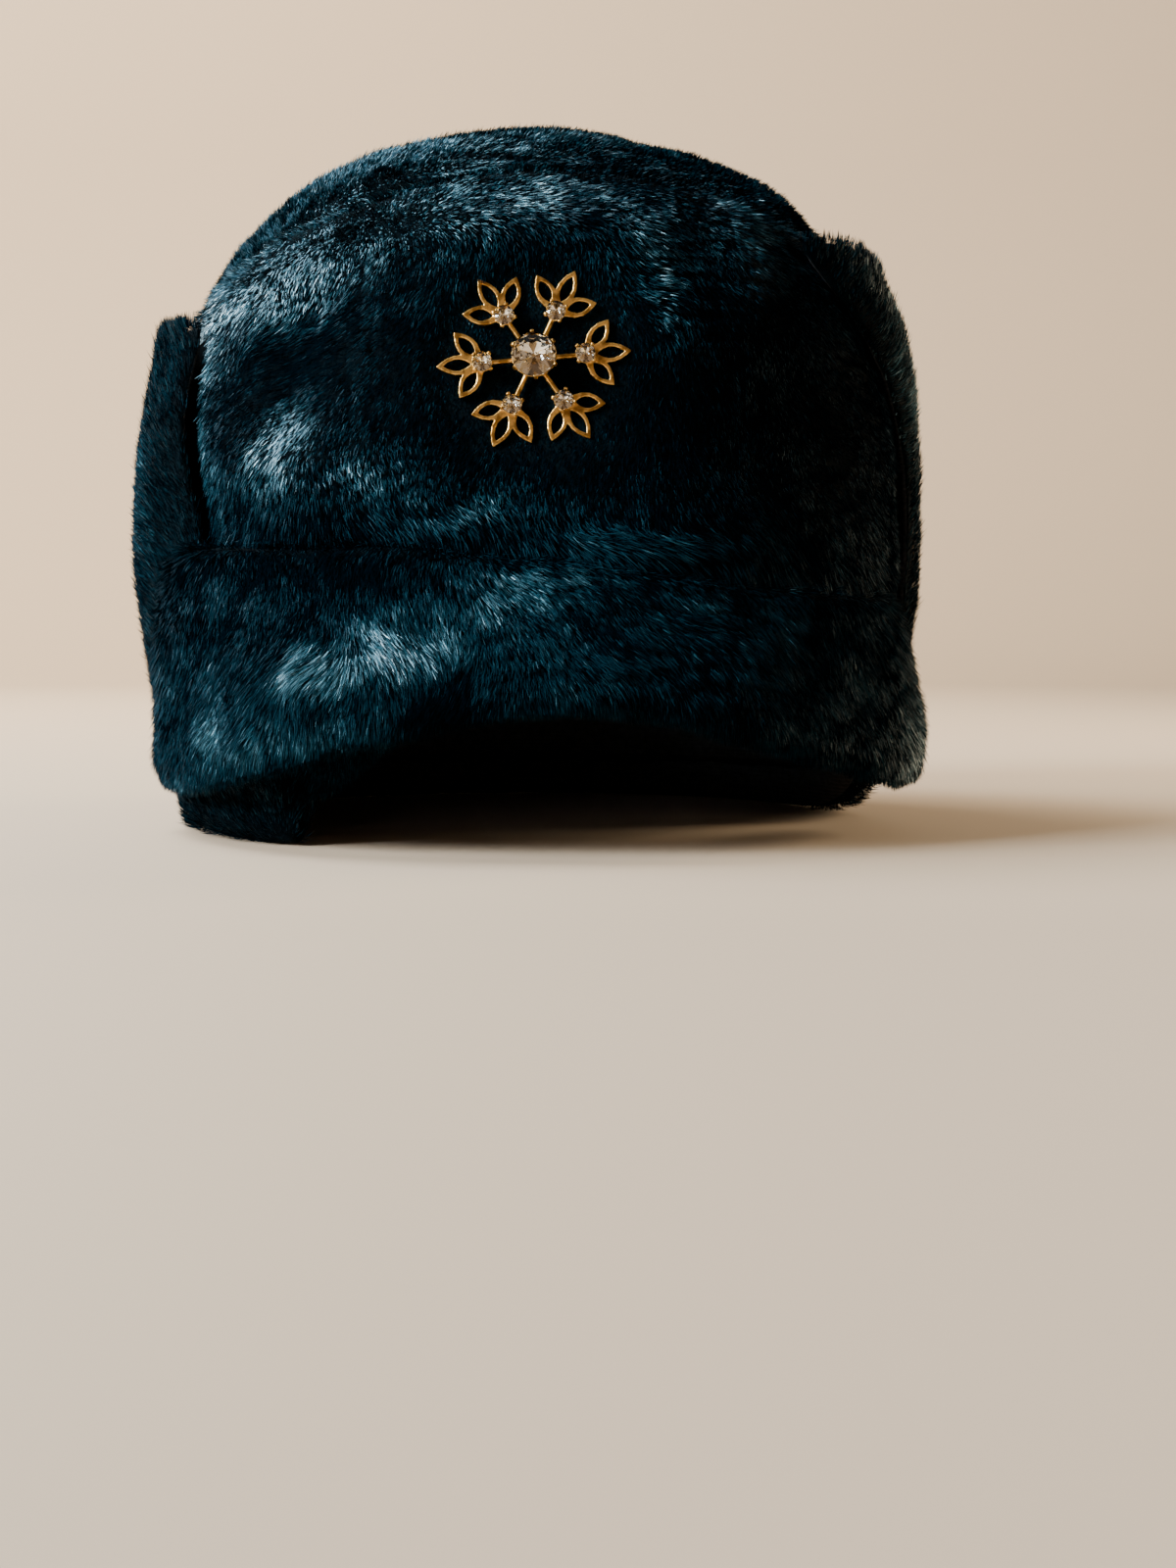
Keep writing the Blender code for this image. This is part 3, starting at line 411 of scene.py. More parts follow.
@dataclass(frozen=True)
class StrandForm:
    """How a strand bends, and how it stands where the cloth faces along the lay."""

    low: float = 1.15  # lift of its lower half, as a share of its lift
    high: float = 0.62  # same for its upper half
    faced_high: float = 0.38  # what that share gains where the cloth faces along the lay
    faced: Pair = (0.30, 0.85)  # cosines between which it comes to stand there
    standing: float = 76.0  # its lift there, in degrees
    faced_loss: float = 0.30  # share of its length that it loses there
    follow: float = 0.4  # how far its middle follows its gathered tip
    sunk: float = 1.2  # depth of its root, in strand widths
    base_ripple: float = 0.55  # usual strength of the ripples


class Lay(Enum):
    """The way that a piece's pile lies before it is brushed, as a direction in the hat's frame."""

    DOWN = (0.0, 0.0, -1.0)
    UP = (0.0, 0.0, 1.0)
    FORWARD = (0.25, -1.0, -0.30)


@dataclass(frozen=True)
class Combing:
    """A patch where the pile was brushed another way, and where its shine paints sheen or shade
    into the strands.
    """

    azimuth: float  # its middle, in degrees
    height: float  # its middle, in metres over the floor
    spread: float  # how far it reaches round the hat, in degrees
    tall: float  # how far it reaches up and down, in metres
    # how far it turns the pile, in degrees, positive to the right from a downward lay
    turn: float = 0.0
    raised: float = 0.0  # how much steeper the pile stands, in degrees
    shine: float = 0.0  # painted sheen where positive and painted shade where negative: how much paler or darker its strands are, in steps of the tints
    grown: float = 0.0  # how much longer its strands are, as a share

    def weight(self, azimuth: Array, height: Array) -> Array:
        """How strongly the patch acts on each point."""
        around = bell(angle_between(azimuth, self.azimuth), self.spread)
        return around * bell(height - self.height, self.tall)


@dataclass(frozen=True)
class BroochSeat:
    """The way that the brooch faces on the crown, and how deep its packed stones sit."""

    facing: float = -8.0  # azimuth that it faces
    lift: float = 6.0  # how far it looks up, in degrees
    turn: float = 5.0  # its turn in its own plane, in degrees
    # height of a packed stone's table over its girdle, as a share of its radius
    table_level: float = 0.41
    culet_level: float = -0.67  # same for its culet

    @cached_property
    def out(self) -> Vector:
        """The direction out of the brooch's face."""
        turn, lift = math.radians(self.facing), math.radians(self.lift)
        level = math.cos(lift)
        return Vector((math.sin(turn) * level, -math.cos(turn) * level, math.sin(lift)))

    def frame(self, middle: Vector) -> Matrix:
        """The brooch's axes at a point: X right, Y up and Z out."""
        right = Vector((0.0, 0.0, 1.0)).cross(self.out).normalized()
        made = Matrix((right, self.out.cross(right), self.out)).transposed().to_4x4()
        made.translation = middle
        return made @ Matrix.Rotation(math.radians(self.turn), 4, "Z")

    def stone_place(self, node: Object) -> tuple[Matrix, float]:
        """Finds a stone's seat.

        Args:
            node: the stone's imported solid.

        Returns:
            The frame at the lower edge of its girdle, and its radius.
        """
        points = [vertex.co for vertex in node.data.vertices]
        middle = sum((Vector(corner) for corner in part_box(node.name)), Vector()) / 2.0
        levels = [(point - middle).dot(self.out) for point in points]
        radius = (max(levels) - min(levels)) / (self.table_level - self.culet_level)
        low = self.out * (max(levels) - self.table_level * radius)
        return self.frame(middle + low), radius


@dataclass
class Pile:
    """The strands of one cloth piece."""

    strands: int  # how many there are
    length: float  # their usual length in metres
    width: float  # their width at the middle in metres
    lift: float  # usual angle between a strand and the cloth, in degrees
    lay: Lay  # way that they lie before brushing
    combings: tuple[Combing, ...]  # where they were brushed another way, and where sheen or shade is painted
    clump: float = 0.18  # how far the tips of a tuft gather, as a share
    tuft: int = 10  # how many strands a tuft has
    shine: float = 0.60  # tint that most strands have, in steps
    stray: float = 0.06  # share of strands that stand up out of the rest
    seed: int = 1  # start of its random numbers
    wander: float = 16.0  # how far its lay strays over wide areas, in degrees
    ripple: float = 9.0  # how much its ripples raise and lower the strands, in degrees
    ripple_pitch: float = 0.0052  # height between two ripples, in metres
    roll: float = 0.55  # spread of the blades' roll about their strands, in radians
    floor: float = 0.0004  # lowest height that a strand reaches, in metres
    scatter: Scatter = field(default_factory=Scatter)  # how single strands differ
    form: StrandForm = field(default_factory=StrandForm)  # how a strand bends

    def roots(self, skin: "Skin", random: np.random.Generator) -> tuple[Array, Array]:
        """Scatters the roots over the skin.

        Args:
            skin: the cloth.
            random: the source of random numbers.

        Returns:
            The points and the cloth's directions out of them.
        """
        corners = skin.triangles
        weights = skin.areas * skin.furred
        picks = random.choice(len(corners), self.strands, p=weights / weights.sum())
        first, second = random.random((2, self.strands))
        fold = first + second > 1.0
        first, second = np.where(fold, 1.0 - first, first), np.where(fold, 1.0 - second, second)
        shares = np.stack((1.0 - first - second, first, second), axis=1)[:, :, None]
        chosen = corners[picks]
        points = (skin.points[chosen] * shares).sum(axis=1)
        normals = unit((skin.normals[chosen] * shares).sum(axis=1))
        return points, normals

    def combed(self, points: Array, random: np.random.Generator) -> tuple[Array, ...]:
        """Works out how the pile is brushed.

        Args:
            points: the roots.
            random: the source of random numbers.

        Returns:
            For each root, the turn and the lift in radians, the tint in steps with the patches'
            painted sheen and painted shade, and the share of the length.
        """
        azimuth, height = azimuth_of(points), points[:, 2]
        count, seed, scatter = len(points), self.seed, self.scatter
        grown = 1.0 + Grain.LENGTH.at(seed, points)
        turn = self.wander * Grain.WANDER.at(seed, points)
        turn += Grain.TURN.at(seed, points) + random.normal(0.0, scatter.turn, count)
        warped = height + Grain.WARP.at(seed, points)
        wave = np.sin(2.0 * math.pi * warped / self.ripple_pitch)
        strength = self.form.base_ripple + Grain.RIPPLE.at(seed, points)
        lift = self.lift + self.ripple * strength * wave
        lift += Grain.LIFT.at(seed, points) + random.normal(0.0, scatter.lift, count)
        lift += np.where(random.random(count) < self.stray, scatter.stray_lift, 0.0)
        # Each patch's shine paints sheen where positive and shade where negative into the tints.
        painted_sheen, painted_shade = np.zeros((2, count))
        for patch in self.combings:
            weight = patch.weight(azimuth, height)
            turn += weight * patch.turn
            lift += weight * patch.raised
            grown += weight * patch.grown
            painted_sheen += weight * max(patch.shine, 0.0)
            painted_shade += weight * min(patch.shine, 0.0)
        painted_sheen = np.clip(painted_sheen, 0.0, scatter.most_shine)
        patchy = scatter.patchy * (Grain.PATCH.at(seed, points) + Grain.FLECK.at(seed, points))
        shine = self.shine + patchy + random.normal(0.0, scatter.tint, count) + painted_shade
        gain = scatter.painted_sheen + patchy + scatter.rippled_sheen * strength * wave
        shine += painted_sheen * (gain + random.normal(0.0, scatter.painted_sheen_spread, count))
        return np.radians(turn), np.radians(np.clip(lift, *scatter.lifts)), shine, grown

    def gathered(self, roots: Array, tips: Array, random: np.random.Generator) -> Array:
        """Draws the tips towards the middle of their tuft.

        Args:
            roots: where the strands stand.
            tips: where they end.
            random: the source of random numbers.

        Returns:
            The new tips.
        """
        seeds = random.choice(len(roots), max(1, len(roots) // self.tuft), replace=False)
        tree = KDTree(len(seeds))
        for number, seed in enumerate(seeds):
            tree.insert(roots[seed], number)
        tree.balance()
        tuft = np.fromiter((tree.find(root)[1] for root in roots), dtype=np.int64, count=len(roots))
        counts = np.maximum(np.bincount(tuft, minlength=len(seeds)), 1)
        sums = [np.bincount(tuft, tips[:, axis], len(seeds)) for axis in range(3)]
        middle = np.stack([total / counts for total in sums], axis=1)
        return tips + (middle[tuft] - tips) * self.clump

    def mesh(self, name: str, skin: "Skin", shorter: Callable[[Array], Array]) -> Mesh:
        """Grows the strands.

        Args:
            name: the mesh's name.
            skin: the cloth.
            shorter: a function that gives each root a share of the length and of the lift.

        Returns:
            A mesh with four points and two triangles for each strand.
        """
        random = np.random.default_rng(self.seed)
        form, scatter = self.form, self.scatter
        roots, normals = self.roots(skin, random)
        turn, lift, shine, grown = self.combed(roots, random)
        share = shorter(roots)
        lay = unit(np.array(self.lay.value)[None, :])[0]
        faced = smooth_step(*form.faced, normals @ lay)
        lift = lift * share + (math.radians(form.standing) - lift * share) * faced
        share = share * (1.0 - form.faced_loss * faced)
        along = unit(lay - normals * (normals @ lay)[:, None])
        across = np.cross(normals, along)
        along = along * np.cos(turn)[:, None] + across * np.sin(turn)[:, None]
        length = self.length * share * grown * random.uniform(*scatter.lengths, len(roots))
        low, high = lift * form.low, lift * (form.high + form.faced_high * faced)
        middle = roots + (length * 0.5)[:, None] * (
            along * np.cos(low)[:, None] + normals * np.sin(low)[:, None]
        )
        tips = middle + (length * 0.5)[:, None] * (
            along * np.cos(high)[:, None] + normals * np.sin(high)[:, None]
        )
        gathered = self.gathered(roots, tips, random)
        middle += (gathered - tips) * form.follow
        side = unit(np.cross(gathered - roots, normals))
        facing = unit(np.cross(side, gathered - roots))
        roll = random.normal(0.0, self.roll, len(roots))
        roll = roll.clip(-scatter.most_roll, scatter.most_roll)[:, None]
        side = side * np.cos(roll) + facing * np.sin(roll)
        half = side * (self.width * 0.5 * random.uniform(*scatter.widths, len(roots)))[:, None]
        sunk = roots - normals * (self.width * form.sunk)
        points = np.stack((sunk, middle - half, middle + half, gathered), axis=1).reshape(-1, 3)
        points[:, 2] = np.maximum(points[:, 2], self.floor)
        low_facing = unit(np.cross(side, middle - sunk))
        high_facing = unit(np.cross(side, gathered - middle))
        bend = unit(low_facing + high_facing)
        facings = np.stack((low_facing, bend, bend, high_facing), axis=1).reshape(-1, 3)
        tints = np.clip(np.round(shine), 0, len(Tint) - 1).astype(np.int32)
        return blade_mesh(name, points, facings, tints)


def blade_mesh(name: str, points: Array, facings: Array, tints: Array) -> Mesh:
    """Makes blades of two triangles.

    Args:
        name: the mesh's name.
        points: four points for each blade: root, left, right and tip.
        facings: the direction that each point's surface faces, square to its strand.
        tints: the tint of each blade; its lower half is a step darker, as painted shade down in the
            pile.

    Returns:
        The mesh.
    """
    count = len(tints)
    first = np.arange(count, dtype=np.int32) * 4
    corners = np.stack((first, first + 2, first + 1, first + 1, first + 2, first + 3), axis=1)
    mesh = bpy.data.meshes.new(name)
    mesh.vertices.add(count * 4)
    mesh.vertices.foreach_set("co", points.astype(np.float32).ravel())
    mesh.loops.add(count * 6)
    mesh.loops.foreach_set("vertex_index", corners.ravel())
    mesh.polygons.add(count * 2)
    mesh.polygons.foreach_set("loop_start", np.arange(count * 2, dtype=np.int32) * 3)
    # The lower triangle of each blade takes the next darker tint: painted shade near the root.
    root_shaded_tints = np.stack((np.maximum(tints - 1, 0), tints), axis=1)
    mesh.polygons.foreach_set("material_index", root_shaded_tints.astype(np.int32).ravel())
    mesh.update(calc_edges=True)
    mesh.shade_smooth()
    mesh.normals_split_custom_set_from_vertices(facings)
    return mesh


class Side(Enum):
    """Which faces of a piece carry pile, as how far they face away from the hat's heart.

    OUTER takes those that face away from it. TURNED takes the edges and the fold's outside too.
    """

    OUTER = 0.15
    TURNED = -0.30


@dataclass
class Skin:
    """The smooth cloth of one piece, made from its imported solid."""

    node: Object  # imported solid
    side: Side  # which faces carry pile
    heart: float = 0.090  # height of the point that outer faces face away from
    lumps: float = 0.0010  # height of its soft unevenness, in metres
    seed: int = 5  # start of its random numbers
    lump_spans: Pair = (0.017, 0.007)  # spans of its wide and its fine lumps, in metres
    fine_lumps: float = 0.5  # height of the fine ones, as a share of the wide ones'
    # heights, in metres, between which the lumps come in over the floor
    pressed: Pair = (0.002, 0.010)
    pairing: float = 50.0  # most that two paired triangles bend, in degrees
    mesh: Mesh = field(init=False)
    points: Array = field(init=False)
    normals: Array = field(init=False)
    triangles: Array = field(init=False)
    areas: Array = field(init=False)
    outer: Array = field(init=False)  # which triangles face out
    furred: Array = field(init=False)  # which of them carry pile

    def __post_init__(self) -> None:
        """Smooths the solid and reads it into arrays."""
        self.mesh = self.smoothed()
        self.unevened()
        self.read()

    def smoothed(self) -> Mesh:
        """The solid, welded, with its triangles paired and subdivided once."""
        shape = bmesh.new()
        shape.from_mesh(self.node.data)
        bmesh.ops.remove_doubles(shape, verts=shape.verts, dist=WELD)
        bmesh.ops.join_triangles(
            shape,
            faces=shape.faces,
            angle_face_threshold=math.radians(self.pairing),
            angle_shape_threshold=math.radians(self.pairing),
        )
        mesh = bpy.data.meshes.new(f"{self.node.name}_cloth")
        shape.to_mesh(mesh)
        shape.free()
        holder = linked("holder", mesh)
        rounder = holder.modifiers.new("rounder", "SUBSURF")
        rounder.levels = rounder.render_levels = 1
        graph = bpy.context.evaluated_depsgraph_get()
        made = bpy.data.meshes.new_from_object(holder.evaluated_get(graph), depsgraph=graph)
        bpy.data.objects.remove(holder)
        bpy.data.meshes.remove(mesh)
        made.name = f"{self.node.name}_cloth"
        made.materials.clear()
        return made

    def unevened(self) -> None:
        """Gives the cloth's outer face soft lumps."""
        points = read_rows(self.mesh.vertices, "co")
        normals = read_rows(self.mesh.vertex_normals, "vector")
        wide, fine = self.lump_spans
        rise = self.lumps * SoftNoise(self.seed, wide).at(points)
        rise += self.lumps * self.fine_lumps * SoftNoise(self.seed + 1, fine).at(points)
        rise *= self.faces_out(points, normals) * smooth_step(*self.pressed, points[:, 2])
        self.mesh.vertices.foreach_set("co", (points + normals * rise[:, None]).ravel())
        self.mesh.update()

    def faces_out(self, points: Array, normals: Array) -> Array:
        """True where a normal points away from the heart of the hat."""
        heart = np.zeros_like(points)
        heart[:, 2] = np.minimum(points[:, 2], self.heart)
        away = (unit(points - heart) * normals).sum(axis=1)
        return away > self.side.value

    def read(self) -> None:
        """Reads the finished mesh into arrays."""
        mesh = self.mesh
        mesh.calc_loop_triangles()
        self.points = read_rows(mesh.vertices, "co")
        self.normals = read_rows(mesh.vertex_normals, "vector")
        self.triangles = read_rows(mesh.loop_triangles, "vertices", np.int32)
        faces = np.zeros(len(mesh.loop_triangles), dtype=np.int32)
        mesh.loop_triangles.foreach_get("polygon_index", faces)
        spots = self.points[self.triangles]
        crossed = np.cross(spots[:, 1] - spots[:, 0], spots[:, 2] - spots[:, 0])
        self.areas = np.linalg.norm(crossed, axis=1) / 2.0
        self.outer = self.faces_out(spots.mean(axis=1), unit(crossed))
        resting = (spots[:, :, 2].max(axis=1) < MILLIMETRE) & (unit(crossed)[:, 2] < FLAT_DOWN)
        self.furred = self.outer & ~resting
        bare = np.ones(len(mesh.polygons), dtype=np.int32)
        bare[faces[self.outer]] = 0
        mesh.polygons.foreach_set("material_index", bare)
        mesh.shade_smooth()

    def tree(self) -> BVHTree:
        """A search tree of the cloth's triangles."""
        return BVHTree.FromPolygons(self.points.tolist(), self.triangles.tolist())

    def bare_under(self, covers: list[BVHTree], reach: float) -> None:
        """Takes the pile off what other cloth covers.

        Args:
            covers: search trees of the cloth that may lie over this piece.
            reach: how near the cover must be, in metres.
        """
        spots = self.points[self.triangles]
        middles = spots.mean(axis=1)
        out = unit(np.cross(spots[:, 1] - spots[:, 0], spots[:, 2] - spots[:, 0]))
        for index in np.nonzero(self.furred)[0]:
            start = Vector(middles[index] + out[index] * OFF_THE_CLOTH)
            ray = Vector(out[index])
            if any(cover.ray_cast(start, ray, reach)[0] is not None for cover in covers):
                self.furred[index] = False


def ring_of(
    shape: bmesh.types.BMesh, radius: float, level: float, count: int, turn: float = 0.0
) -> list[bmesh.types.BMVert]:
    """Adds a ring of points round the Z axis; turn is a share of the step between two."""
    step = 2.0 * math.pi / count
    angles = [step * (index + turn) for index in range(count)]
    return [shape.verts.new((radius * math.cos(a), radius * math.sin(a), level)) for a in angles]


def place_object(name: str, mesh: Mesh, materials: list[Material]) -> Object:
    """Links a mesh as an object that rides on the hat and wears the materials."""
    thing = linked(name, mesh)
    for material in materials:
        mesh.materials.append(material)
    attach(thing, BODY)
    return thing


@dataclass
class ClothPiece:
    """One cloth piece of the hat: its skin and its piles."""

    name: str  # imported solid's name
    side: Side  # which faces carry pile
    piles: tuple[Pile, ...]  # pile of the piece, or of each of its halves
    lumps: float = 0.0010  # height of the cloth's unevenness, in metres
    seed: int = 5  # start of its random numbers
    fill: float | None = None  # how tight its padding is, from 0 to 1, or None where it has none
    skin: Skin = field(init=False)

    def cut(self, nodes: dict[str, Object]) -> None:
        """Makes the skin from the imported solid."""
        self.skin = Skin(nodes[self.name], self.side, lumps=self.lumps, seed=self.seed)

    def dress(
        self,
        cloths: list[Material],
        strands: list[Material],
        shorter: Callable[[Array], Array],
    ) -> None:
        """Places the skin and grows its pile.

        Args:
            cloths: the ground and the backing cloth.
            strands: the strand materials, one for each tint.
            shorter: a function that gives roots a share of the length.
        """
        skin = place_object(f"{self.name}_cloth", self.skin.mesh, cloths)
        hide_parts(self.name)
        faces = len(self.skin.triangles)
        for number, pile in enumerate(self.piles):
            mark = "" if len(self.piles) == 1 else f"_{number + 1}"
            mesh = pile.mesh(f"{self.name}_pile{mark}", self.skin, shorter)
            grown = place_object(f"{self.name}_pile{mark}", mesh, strands)
            faces += len(mesh.polygons)
        log.info("%s: cloth and %d pile(s), %d triangles", self.name, len(self.piles), faces)


@dataclass
class SoftHat:
    """All the cloth of the hat."""

    # distance from the brooch's middle up to which the pile is shortest
    near_brooch: float = 0.0210
    clear_brooch: float = 0.0270  # distance from which it has its whole length
    least_pile: float = 0.36  # share of its length that the shortest keeps
    cover_reach: float = 0.022  # how near other cloth is where no pile grows
    # The shine here is painted sheen on the upper band, the left side and the roll's crest, and
    # painted shade round the brooch, on the right side and in the crease over the brim.
    crown_combings: tuple[Combing, ...] = (
        Combing(-58.0, 0.149, 26.0, 0.020, turn=34.0, shine=3.6),
        Combing(-26.0, 0.158, 16.0, 0.012, turn=50.0, shine=1.5),
        Combing(-4.0, 0.160, 14.0, 0.007, turn=62.0, shine=1.1),
        Combing(30.0, 0.158, 22.0, 0.012, turn=40.0, shine=1.2),
        Combing(-68.0, 0.120, 7.0, 0.022, turn=-20.0, shine=1.9),
        Combing(-43.0, 0.102, 5.0, 0.009, turn=-12.0, raised=-14.0, shine=2.7),
        Combing(-36.0, 0.092, 9.0, 0.005, turn=18.0, raised=-14.0, shine=1.9, grown=0.25),
        Combing(-18.0, 0.083, 10.0, 0.005, turn=44.0, raised=-10.0, shine=1.0),
        Combing(6.0, 0.076, 14.0, 0.004, turn=60.0, raised=-8.0, shine=0.1),
        Combing(10.0, 0.137, 5.0, 0.012, turn=70.0, shine=1.7),
        Combing(38.0, 0.110, 26.0, 0.036, turn=-10.0, raised=4.0, shine=-0.6),
        Combing(-6.0, 0.114, 18.0, 0.024, turn=-20.0, raised=4.0, shine=-1.0),
        Combing(-46.0, 0.121, 8.0, 0.012, turn=-60.0, raised=4.0, shine=-1.3),
        Combing(-34.0, 0.128, 9.0, 0.014, turn=-40.0, raised=4.0, shine=-0.7),
        Combing(-52.0, 0.080, 14.0, 0.006, turn=20.0, raised=10.0, shine=-0.5, grown=1.0),
        Combing(-24.0, 0.077, 14.0, 0.006, turn=20.0, raised=10.0, shine=-0.4, grown=1.0),
        Combing(2.0, 0.073, 14.0, 0.006, turn=30.0, raised=10.0, grown=1.0),
        Combing(28.0, 0.068, 14.0, 0.006, turn=10.0, raised=10.0, grown=1.0),
        Combing(52.0, 0.066, 12.0, 0.006, raised=10.0, grown=1.0),
    )
    # The shine here is painted sheen on the lit fan and across the brim, and painted shade in the
    # crease under the roll, a fold and the middle.
    brim_combings: tuple[Combing, ...] = (
        Combing(-24.0, 0.051, 6.0, 0.008, turn=40.0, raised=-8.0, shine=2.2, grown=0.35),
        Combing(-34.0, 0.047, 6.0, 0.006, turn=-45.0, raised=-8.0, shine=1.1, grown=0.30),
        Combing(-46.0, 0.030, 9.0, 0.005, turn=-20.0, shine=0.9, grown=0.25),
        Combing(-66.0, 0.016, 9.0, 0.005, turn=-30.0, shine=0.5, grown=0.25),
        Combing(-44.0, 0.070, 18.0, 0.006, turn=10.0, shine=-0.9),
        Combing(-12.0, 0.059, 6.0, 0.009, turn=40.0, raised=-6.0, shine=0.7),
        Combing(-4.0, 0.066, 12.0, 0.005, turn=50.0, raised=-6.0, shine=0.6),
        Combing(12.0, 0.056, 10.0, 0.006, turn=55.0, shine=0.1),
        Combing(2.0, 0.046, 8.0, 0.005, turn=30.0, shine=0.1),
        Combing(0.0, 0.052, 16.0, 0.012, shine=-0.3),
        Combing(-56.0, 0.060, 16.0, 0.014, turn=30.0, raised=6.0, shine=0.3),
        Combing(-19.0, 0.037, 4.0, 0.006, turn=-40.0, raised=12.0, shine=-1.2),
        Combing(66.0, 0.030, 20.0, 0.020, turn=-10.0, raised=4.0, shine=1.6),
    )
    # The shine here is painted sheen over the tip, strongest on its upper left.
    tip_combings: tuple[Combing, ...] = (
        Combing(-72.0, 0.156, 34.0, 0.024, turn=20.0, shine=2.9),
        Combing(-50.0, 0.176, 36.0, 0.012, turn=20.0, shine=2.0),
        Combing(-5.0, 0.182, 30.0, 0.009, turn=10.0, shine=1.5),
        Combing(45.0, 0.166, 25.0, 0.014, shine=0.9),
    )
    # The shine here is painted sheen on the cuff, strongest on its right band and at the back.
    cuff_combings: tuple[Combing, ...] = (
        Combing(-70.0, 0.130, 12.0, 0.006, raised=14.0, grown=0.60),
        Combing(-90.0, 0.090, 16.0, 0.030, turn=60.0, shine=0.2),
        Combing(76.0, 0.122, 14.0, 0.034, shine=1.9),
        Combing(180.0, 0.080, 50.0, 0.020, turn=20.0, shine=0.9),
        Combing(-136.0, 0.110, 22.0, 0.016, turn=-30.0, shine=1.5),
        Combing(136.0, 0.060, 22.0, 0.016, turn=40.0, shine=1.0),
    )
    pieces: list[ClothPiece] = field(init=False)

    def __post_init__(self) -> None:
        """Lists the cloth pieces with their piles."""
        tip = Pile(
            strands=86000,
            length=0.0040,
            width=0.00023,
            lift=42.0,
            lay=Lay.FORWARD,
            combings=self.tip_combings,
            seed=101,
        )
        crown = replace(
            tip,
            strands=98000,
            length=0.0041,
            lift=40.0,
            lay=Lay.DOWN,
            combings=self.crown_combings,
            seed=102,
        )
        cuff = replace(
            tip,
            strands=82000,
            length=0.0045,
            width=0.00027,
            lift=38.0,
            lay=Lay.UP,
            combings=self.cuff_combings,
            seed=103,
        )
        brim = replace(
            crown,
            length=0.0053,
            width=0.00022,
            lift=34.0,
            combings=self.brim_combings,
            clump=0.28,
            tuft=14,
            seed=105,
        )
        self.pieces = [
            ClothPiece("crown_tip", Side.OUTER, (tip,), seed=31),
            ClothPiece("crown_side", Side.OUTER, (crown,), seed=32),
            ClothPiece("back_cuff", Side.TURNED, (cuff, replace(cuff, seed=104)), seed=33),
            ClothPiece("front_brim", Side.TURNED, (brim,), seed=34, fill=0.4),
        ]

    def build(self, nodes: dict[str, Object], brooch: Vector) -> None:
        """Makes every cloth piece.

        Args:
            nodes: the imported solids.
            brooch: the middle of the brooch.
        """

        def shorter(points: Array) -> Array:
            """The share of its length that the pile keeps near the brooch."""
            away = np.linalg.norm(points - np.array(brooch), axis=1)
            kept = smooth_step(self.near_brooch, self.clear_brooch, away)
            return self.least_pile + (1.0 - self.least_pile) * kept

        cloths = [PlushGround().material(), BackingCloth().material()]
        strands = StrandFinish().materials()
        for piece in self.pieces:
            piece.cut(nodes)
        trees = {piece.name: piece.skin.tree() for piece in self.pieces}
        for piece in self.pieces:
            covers = [tree for name, tree in trees.items() if name != piece.name]
            piece.skin.bare_under(covers, self.cover_reach)
            piece.dress(cloths, strands, shorter)


@dataclass(frozen=True)
class CutStone:
    """A round stone cut with a table, stars, kites and halves, over a foiled pavilion."""

    # radius of the table, as the other sizes here a share of the stone's radius
    table: float = 0.55
    table_level: float = 0.40  # height of the table over the girdle
    star: float = 0.79  # radius at which stars, kites and halves meet
    star_level: float = 0.28  # their height there
    girdle: float = 0.07  # girdle's thickness
    waist: float = 0.48  # radius at which the pavilion's halves end
    waist_level: float = -0.36  # their depth
    culet: float = 0.07  # radius of the culet
    culet_level: float = -0.64  # its depth
    fold: int = 8  # how many times its pattern repeats
    # foils of the pavilion's facets, in turn, which paint a sparkle of light and dark facets
    sparkle_foil_order: tuple[int, ...] = (2, 1, 3, 1, 2, 1, 1)

    def mesh(self, name: str, radius: float) -> Mesh:
        """Cuts the stone.

        Args:
            name: the mesh's name.
            radius: the stone's radius in metres.

        Returns:
            The mesh, with its girdle's lower edge at z = 0, glass above it and foil below.
        """
        shape = bmesh.new()
        fold = self.fold
        table = ring_of(shape, self.table, self.table_level, fold, 0.0)
        star = ring_of(shape, self.star, self.star_level, fold, 0.5)
        upper = ring_of(shape, 1.0, self.girdle, 2 * fold, 0.0)
        lower = ring_of(shape, 1.0, 0.0, 2 * fold, 0.0)
        waist = ring_of(shape, self.waist, self.waist_level, fold, 0.5)
        culet = ring_of(shape, self.culet, self.culet_level, fold, 0.0)
        glass, foil = [table], [culet]
        for i in range(fold):
            j, before = (i + 1) % fold, (i - 1) % fold
            here, half, after = 2 * i, 2 * i + 1, (2 * i + 2) % (2 * fold)
            glass.append([table[i], star[i], table[j]])
            glass.append([table[i], star[before], upper[here], star[i]])
            glass.append([star[i], upper[here], upper[half]])
            glass.append([star[i], upper[half], upper[after]])
            glass.append([upper[here], lower[here], lower[half], upper[half]])
            glass.append([upper[half], lower[half], lower[after], upper[after]])
            foil.append([lower[here], waist[before], culet[i], waist[i]])
            foil.append([lower[here], waist[i], lower[half]])
            foil.append([lower[half], waist[i], lower[after]])
            foil.append([waist[i], culet[i], culet[j]])
        for corners in glass:
            shape.faces.new(corners).material_index = 0
        for number, corners in enumerate(foil):
            shape.faces.new(corners).material_index = self.sparkle_foil_order[number % len(self.sparkle_foil_order)]
        bmesh.ops.recalc_face_normals(shape, faces=shape.faces)
        bmesh.ops.scale(shape, vec=(radius, radius, radius), verts=shape.verts)
        mesh = bpy.data.meshes.new(name)
        shape.to_mesh(mesh)
        shape.free()
        mesh.shade_flat()
        return mesh


